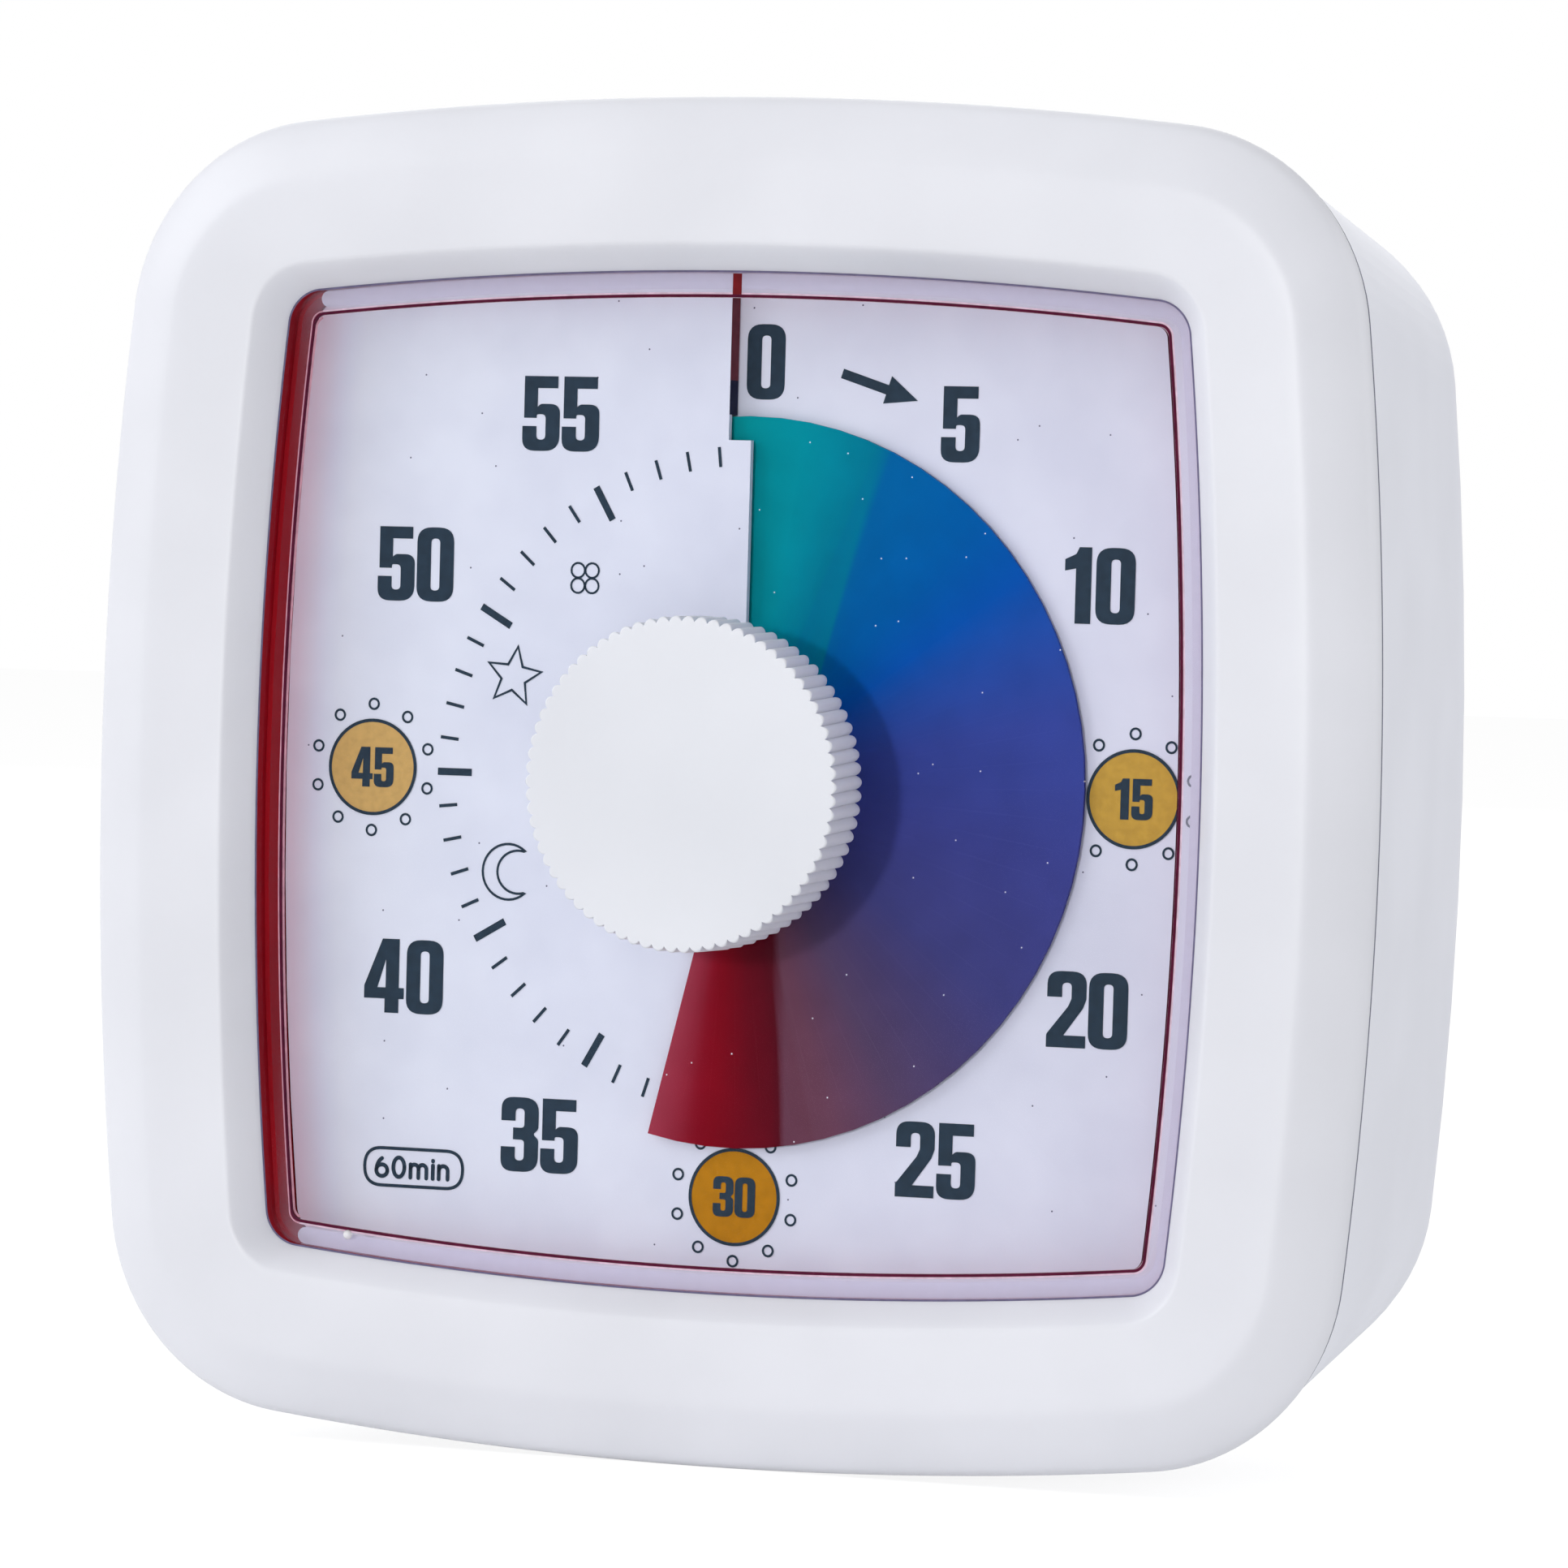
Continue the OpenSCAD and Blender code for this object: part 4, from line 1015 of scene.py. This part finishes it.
class Glyph:
    """Heavy condensed figures on a grid 50 wide and 100 high, and thin round letters."""

    HEAVY: dict[str, list[list[tuple]]] = {
        "0": [[(0, 0, 20), (50, 0, 20), (50, 100, 20), (0, 100, 20)],
              [(19, 15, 6), (31, 15, 6), (31, 85, 6), (19, 85, 6)]],
        "1": [[(15, 0), (35, 0), (35, 100), (19, 100), (15, 91, 4), (1, 84), (1, 69), (15, 72)]],
        "2": [[(0, 0), (50, 0), (50, 16), (22, 16), (46, 52, 6), (50, 64, 6), (50, 100, 20), (0, 100, 20),
               (0, 66), (19, 66), (19, 85, 6), (31, 85, 6), (31, 64, 4), (27, 54, 4), (0, 17, 6)]],
        "3": [[(0, 33), (0, 0, 20), (50, 0, 20), (50, 44, 8), (43, 51, 3), (50, 58, 8), (50, 100, 20),
               (0, 100, 20), (0, 68), (19, 68), (19, 85, 6), (31, 85, 6), (31, 59, 5), (16, 59), (16, 43),
               (31, 43, 5), (31, 15, 6), (19, 15, 6), (19, 33)]],
        "4": [[(28, 0), (47, 0), (47, 19), (54, 19), (54, 34), (47, 34), (47, 100), (24, 100), (0, 36),
               (0, 19), (28, 19)], [(29, 34), (29, 72), (18, 34)]],
        "5": [[(0, 33), (0, 0, 20), (50, 0, 20), (50, 63, 18), (24, 63, 8), (20, 59), (20, 84), (47, 84),
               (47, 100), (2, 100), (2, 44), (19, 44), (19, 49, 4), (31, 49, 6), (31, 15, 6), (19, 15, 6),
               (19, 33)]],
    }
    WIDE = 50
    SPACE = 3
    ADVANCE = {"1": 41, "4": 57}  # of the figures that aren't 50 wide, with the space
    BREADTH = 1.09

    @staticmethod
    def thin(letter: str) -> tuple[list[list[Point]], float]:
        """A thin round letter 100 high.

        Args:
            letter: one of the letters and digits in "60min".

        Returns:
            Its strokes, and its advance.
        """
        shapes = {
            "6": ([arc(28, 30, 25, 30, 0, 360, 28), arc(50, 34, 46, 66, 118, 176)], 70),
            "0": ([arc(28, 50, 25, 50, 0, 360, 32)], 70),
            "m": ([[(4, 0), (4, 68)], arc(22, 45, 18, 23, 180, 0) + [(40, 0)],
                   arc(58, 45, 18, 23, 180, 0) + [(76, 0)]], 94),
            "i": ([[(4, 0), (4, 68)], [(4, 90), (4, 93)]], 20),
            "n": ([[(4, 0), (4, 68)], arc(24, 43, 20, 25, 180, 0) + [(44, 0)]], 60),
        }
        return shapes[letter]

    @classmethod
    def number(cls, shape: Shape, text: str, centre: Point, high: float, height: Height) -> None:
        """Adds a number in heavy figures.

        Args:
            shape: shape that takes the figures.
            text: the digits.
            centre: middle of the number.
            high: height of a figure in millimetres.
            height: local z at a point.
        """
        k = high / 100
        kx = k * cls.BREADTH
        advances = [cls.ADVANCE.get(c, cls.WIDE + cls.SPACE) for c in text]
        x = centre[0] - (sum(advances) - cls.SPACE) * kx / 2
        for c, wide in zip(text, advances):
            shape.flat([[(x + px * kx, centre[1] + (py - 50) * k) for px, py in rounded(loop)]
                        for loop in cls.HEAVY[c]], height)
            x += wide * kx


@dataclass
class Dial:
    """The printed dial: its sheet, figures, ticks, golden discs and line motifs."""

    print_gap: float = 0.03
    figure_h: float = 4.28
    nought: Point = (0.60, 23.90)
    figures: tuple[tuple[str, Point], ...] = (
        ("5", (12.55, 20.56)), ("10", (21.14, 11.69)), ("20", (21.19, -12.04)), ("25", (12.40, -20.90)),
        ("35", (-11.89, -20.70)), ("40", (-20.66, -11.93)), ("50", (-20.48, 11.90)), ("55", (-11.55, 20.71)))
    discs: tuple[tuple[str, Point], ...] = (
        ("15", (23.55, -0.15)), ("30", (0.25, -23.60)), ("45", (-22.93, 0.11)))
    disc_r: float = 2.7
    small_h: float = 2.3
    frame_w: float = 0.19
    motif_w: float = 0.14
    bead: Sizes = (0.95, 0.3, 0.13)  # distance from the disc, radius, line width
    minor: Sizes = (17.96, 19.10, 0.19)  # inner and outer radius, line width
    major: Sizes = (16.99, 19.13, 0.42)
    ring_x: float = 0.34
    arrow_at: tuple[Point, Point] = ((5.29, 23.32), (9.92, 21.84))
    arrow: Sizes = (1.95, 0.28, 0.82)  # length of the head, half widths of shaft and head
    pill_at: Point = (-19.76, -22.98)
    pill: Sizes = (3.1, 1.08)  # half sizes
    letter: Sizes = (1.4, 1.12, 0.235)  # width and height of its grid, line width
    slit_x: float = -1.09
    slit_y: Sizes = (28.3, 22.8, 20.85)
    ink: Shape = field(default_factory=Shape)

    def on_dial(self, x: float, y: float) -> float:
        """Height of the print at a point of the dial."""
        return dial_height(x, y) + self.print_gap

    def line(self, path: Sequence[Point], width: float, closed: bool = True) -> None:
        """Prints a line."""
        self.ink.ribbon(path, width, self.on_dial, closed)

    def ticks(self) -> None:
        """A short line for each minute and a long one for each five."""
        for minute in range(1, 60):
            inner, outer, w = self.major if minute % 5 == 0 else self.minor
            a, b = polar(inner, 6 * minute), polar(outer, 6 * minute)
            across = Vector((b[1] - a[1], a[0] - b[0])).normalized() * w / 2
            start, end = Vector(a) + Vector((self.ring_x, 0)), Vector(b) + Vector((self.ring_x, 0))
            quad = (start - across, end - across, end + across, start + across)
            self.ink.flat([[tuple(p) for p in quad]], self.on_dial)

    def draw_arrow(self) -> None:
        """The arrow between nought and five."""
        tail, tip = (Vector(p) for p in self.arrow_at)
        long, thin, wide = self.arrow
        along = (tip - tail).normalized()
        across = Vector((-along.y, along.x))
        neck, shaft, head = tip - along * long, across * thin, across * wide
        outline = (tail - shaft, neck - shaft, neck - head, tip, neck + head, neck + shaft, tail + shaft)
        self.ink.flat([[tuple(p) for p in outline]], self.on_dial)

    def draw_pill(self) -> None:
        """The oval frame with the range of the scale."""
        (cx, cy), (a, b) = self.pill_at, self.pill
        corners = [(cx + sx * a, cy + sy * b, b) for sx, sy in ((-1, -1), (1, -1), (1, 1), (-1, 1))]
        self.line(rounded(corners, 10), self.frame_w)
        wide, high, width = self.letter
        x, kx, ky = cx - 2.4, wide / 100, high / 100
        for c in "60min":
            strokes, advance = Glyph.thin(c)
            for stroke in strokes:
                self.line([(x + px * kx, cy + (py - 50) * ky) for px, py in stroke], width, closed=False)
            x += (advance + 7) * kx

    def above(self, x: float, y: float) -> float:
        """Height of print that lies on other print."""
        return self.on_dial(x, y) + 0.02

    def medal(self, text: str, centre: Point, part: "Part") -> None:
        """A golden disc with its number, ringed by small beads.

        Args:
            text: the number.
            centre: middle of the disc.
            part: finish of the disc.
        """
        disc = circle(self.disc_r, 64, centre)
        Shape().flat([disc], self.on_dial).piece("dial_print_gold_" + text, "dial_print", part)
        self.ink.ribbon(disc, self.frame_w, self.above, closed=True)
        Glyph.number(self.ink, text, centre, self.small_h, self.above)
        out, r, width = self.bead
        for k in range(10):
            dx, dy = polar(self.disc_r + out, 36 * k)
            self.line(circle(r, 16, (centre[0] + dx, centre[1] + dy)), width)

    def motifs(self) -> None:
        """A star, a crescent and four rings among the ticks, drawn in line."""
        cx, cy = polar(15.2, 6 * 48.6)
        spikes = [polar(0.78 if k % 2 else 1.75, 36 * k + 8) for k in range(10)]
        self.line([(cx + dx, cy + dy) for dx, dy in spikes], self.motif_w)
        cx, cy = polar(15.3, 6 * 41.4)
        moon = arc(cx, cy, 1.6, 1.6, 50, 310, 28) + arc(cx + 0.62, cy, 1.3, 1.24, 285, 75, 22)
        self.line(moon, self.motif_w)
        cx, cy = polar(15.0, 6 * 53.2)
        for k in range(4):
            dx, dy = polar(0.62, 90 * k + 45)
            self.line(circle(0.42, 18, (cx + dx, cy + dy)), 0.12)

    def build(self) -> None:
        """Lays the print on the dial's sheet, and paints the shade in the slit on two flat walls."""
        for text, centre in self.figures:
            Glyph.number(self.ink, text, centre, self.figure_h, self.on_dial)
        Glyph.number(self.ink, "0", self.nought, self.figure_h, level(self.print_gap))
        self.ticks()
        self.draw_arrow()
        self.draw_pill()
        for (text, centre), part in zip(self.discs, (Part.GOLD_LIGHT, Part.GOLD, Part.GOLD_PALE)):
            self.medal(text, centre, part)
        self.motifs()
        self.ink.piece("dial_print_ink", "dial_print", Part.INK)
        # painted shade in the slit: a dark red wall further out, a dark blue gap nearer the axis
        x, z = self.slit_x, RISE - 0.02
        top, middle, foot = self.slit_y
        for name, y0, y1, part in (("slit_wall", middle, top, Part.GAP_RED),
                                   ("slit_gap", foot, middle, Part.GAP)):
            wall = Shape().add([(x, y0, 0.0), (x, y1, 0.0), (x, y1, z), (x, y0, z)], [(0, 1, 2, 3)])
            wall.piece(name, "surround_red", part)


@dataclass
class Knob:
    """The setting knob: a flat white cap with slightly slanted scallops around its side."""

    scallops: int = 74
    depth: float = 0.36
    twist: float = 1.7
    steps: int = 12
    roundness: float = 0.88
    sleeve_r: float = 4.0
    front_round: float = 0.15
    back: float = 5.73
    radius: float = local_box("knob")[1].x

    def outline(self, inset: float, turned: float, share: float = 1.0) -> list[Point]:
        """Scalloped outline.

        Args:
            inset: how far inside the cap's side it lies.
            turned: angle that it is turned by, in degrees.
            share: share of the scallops' depth.

        Returns:
            Its points.
        """
        n = self.scallops * self.steps
        full = 1 - sqrt(1 - self.roundness ** 2)
        out = []
        for i in range(n):
            across = abs(2 * (i / self.steps % 1) - 1)
            wave = (1 - sqrt(1 - (self.roundness * (1 - across)) ** 2)) / full
            out.append(polar(self.radius - inset - self.depth * share * wave, -360 * i / n + turned))
        return out

    def build(self) -> None:
        """Makes the cap and its sleeve in place of its solid, riding on the knob's body."""
        low, high = local_box("knob")
        edge, bands = self.back + 0.12, 6
        rows = [(circle(self.radius - 1.6, self.scallops * self.steps), self.back),
                (self.outline(0.12, 0), self.back), (self.outline(0.0, 0.1), edge)]
        for k in range(1, bands + 1):
            z = blend(edge, high.z - self.front_round, k / bands)
            rows.append((self.outline(0, self.twist * k / bands), z))
        for a in (20, 40, 60, 78, 90):
            s, c = sin(radians(a)), cos(radians(a))
            rows.append((self.outline(self.front_round * (1 - c), self.twist, 1 - 0.35 * s),
                         high.z - self.front_round * (1 - s)))
        rows.append((self.outline(0.75, self.twist, 0.0), high.z))
        cap = Shape().loft(rows)
        sleeve = circle(self.sleeve_r, 64)
        cap.loft([(sleeve, low.z), (sleeve, self.back + 0.2)])
        cap.piece("knob_cap", "knob_white", Part.KNOB, ["knob"], sharp=50, body="knob_set")


class Works:
    """Everything whose solid already has the right shape: each node gets its finish."""

    SHARP = 24.0  # edges that turn by more than this, in degrees, stay sharp
    FINISHES: dict[Part, tuple[str, ...]] = {
        Part.REAR: ("rear_case", "battery_door"),
        Part.HUB: ("disc_hub",),
        Part.RED: ("dial_surround",),
        Part.DIAL: ("dial_plate",),
        Part.FILM: ("color_disc",),
        Part.HOUSING: ("movement_front", "movement_back", "dial_carrier"),
        Part.GEAR: ("drive_wheel", "second_wheel", "first_wheel", "rotor_pinion", "coil_bobbin"),
        Part.FERRITE: ("rotor_magnet",),
        Part.STEEL: ("spindle", "wheel_pins", "case_screws", "carrier_screws", "movement_screws",
                     "board_screws"),
        Part.SPRING: ("clutch_spring", "clutch_clip"),
        Part.CORE: ("stator",),
        Part.BRASS: ("spindle_bush", "alarm_contact"),
        Part.COPPER: ("coil_winding",),
        Part.NICKEL: ("battery_spring", "battery_plate", "quartz_crystal", "switch_body"),
        Part.BOARD: ("circuit_board",),
        Part.CHIP: ("control_chip",),
        Part.SOUNDER: ("sounder",),
        Part.SLIDER: ("switch_slider",),
        Part.CELL: ("battery_cell",),
        Part.FOOT: ("rear_feet",),
    }

    def build(self) -> None:
        """Puts each finish on its nodes."""
        for part, nodes in self.FINISHES.items():
            for name in nodes:
                dress(frame["nodes"][name].data, part, self.SHARP)
                LOG.info("node %s: %s", name, part.value.name)


# ---- stage


@dataclass
class Studio:
    """Pale floor, soft lamps and the camera."""

    # name, place in metres, width, watts and colour
    lamps: tuple[tuple[str, Point3, float, float, Point3], ...] = (
        ("key_lamp", (-0.06, -1.25, 0.17), 0.08, 3.75, (1, 1, 1)),
        ("left_lamp", (-1.1, -0.6, 0.65), 0.9, 7.3, (0.97, 0.985, 1)),
        ("right_lamp", (1.15, 0.05, 0.45), 0.9, 3.0, (0.98, 0.985, 1)),
        ("top_lamp", (0.0, -0.5, 1.3), 0.9, 1.5, (1, 1, 1)),
        ("back_lamp", (-0.4, 1.2, 0.6), 0.9, 2.6, (1, 1, 1)))
    world_level: float = 0.41
    focal_px: float = 10000.0
    frame_px: float = 1932.0
    tilt: Sizes = (1.41, -22.02, -1.55)
    shift_mm: Point3 = (-2.197, 0.105, -461.7)

    def camera(self) -> None:
        """Places the camera that looks at the dial from its right."""
        rx, ry, rz = (radians(a) for a in self.tilt)
        turn = Matrix.Rotation(rz, 3, "Z") @ Matrix.Rotation(rx, 3, "X") @ Matrix.Rotation(ry, 3, "Y")
        spin = (turn @ Matrix(((1, 0, 0), (0, 0, 1), (0, -1, 0)))).transposed()
        data = bpy.data.cameras.new("camera")
        data.sensor_width = 36
        data.lens = self.focal_px / self.frame_px * data.sensor_width
        data.clip_start, data.clip_end = 0.01, 50
        obj = placed("camera", data)
        obj.matrix_world = Matrix.Translation(AXIS - spin @ (Vector(self.shift_mm) * MM)) @ spin.to_4x4()
        bpy.context.scene.camera = obj

    def lamp(self, name: str, place: Point3, size: float, power: float, colour: Point3) -> None:
        """A soft square lamp that points at the dial.

        Args:
            name: name of the lamp.
            place: where it stands, in metres.
            size: width of its square.
            power: power in watts.
            colour: colour of its light.
        """
        data = bpy.data.lights.new(name, "AREA")
        data.shape, data.size, data.energy, data.color = "SQUARE", size, power, colour
        obj = placed(name, data)
        obj.location = place
        obj.rotation_euler = (AXIS - Vector(place)).to_track_quat("-Z", "Y").to_euler()

    def seen(self, tree: Tree) -> Socket:
        """Finds the rays that see the background directly, in a reflection or through the cover.

        Args:
            tree: node tree of the world or the floor.

        Returns:
            The socket with 1 for them and 0 for the rest.
        """
        path = add(tree, "LightPath").outputs
        some = calc(tree, "MAXIMUM", path["Is Camera Ray"], path["Is Glossy Ray"])
        return calc(tree, "MAXIMUM", some, path["Is Transmission Ray"])

    def world(self) -> None:
        """Even soft surroundings, and plain white behind the timer where a ray sees it."""
        world = bpy.data.worlds.new("world")
        bpy.context.scene.world = world
        tree = emptied(world)
        away = axes(tree, add(tree, "TexCoord").outputs["Generated"])["Y"]
        white = calc(tree, "MULTIPLY", self.seen(tree), calc(tree, "GREATER_THAN", away, 0.0))
        strength = spread(tree, white, self.world_level, 1.0)
        light = add(tree, "Background", {"Color": (1, 1, 1, 1), "Strength": strength})
        add(tree, "OutputWorld", {"Surface": light.outputs["Background"]})

    def floor(self) -> None:
        """A pale floor that keeps the timer's soft shadow."""
        mesh = bpy.data.meshes.new("floor")
        a = 3.0  # half its width in metres
        mesh.from_pydata([(-a, -a, 0), (a, -a, 0), (a, a, 0), (-a, a, 0)], [], [(0, 1, 2, 3)])
        material = bpy.data.materials.new("floor_paper")
        tree = emptied(material)
        share = spread(tree, self.seen(tree), 0.0, 0.7)
        paper = add(tree, "BsdfDiffuse", {"Color": (0.9, 0.9, 0.9, 1)}).outputs["BSDF"]
        glow = add(tree, "Emission", {"Color": (1, 1, 1, 1), "Strength": 1.24}).outputs["Emission"]
        both = add(tree, "MixShader", {0: share, 1: paper, 2: glow}).outputs["Shader"]
        add(tree, "OutputMaterial", {"Surface": both})
        mesh.materials.append(material)
        obj = placed("floor", mesh)

    def build(self) -> None:
        """Sets the whole stage."""
        bpy.context.scene.view_settings.view_transform = "Standard"
        self.camera()
        self.world()
        self.floor()
        for row in self.lamps:
            self.lamp(*row)


def main() -> None:
    """Builds the timer, then its stage."""
    logging.basicConfig(level=logging.INFO, format="%(name)s %(message)s")
    case = Case()
    for assembly in (case, Cover(case=case), Dial(), Knob(), Works(), Studio()):
        assembly.build()
        LOG.info("built %s", type(assembly).__name__)


if __name__ == "__main__":
    main()
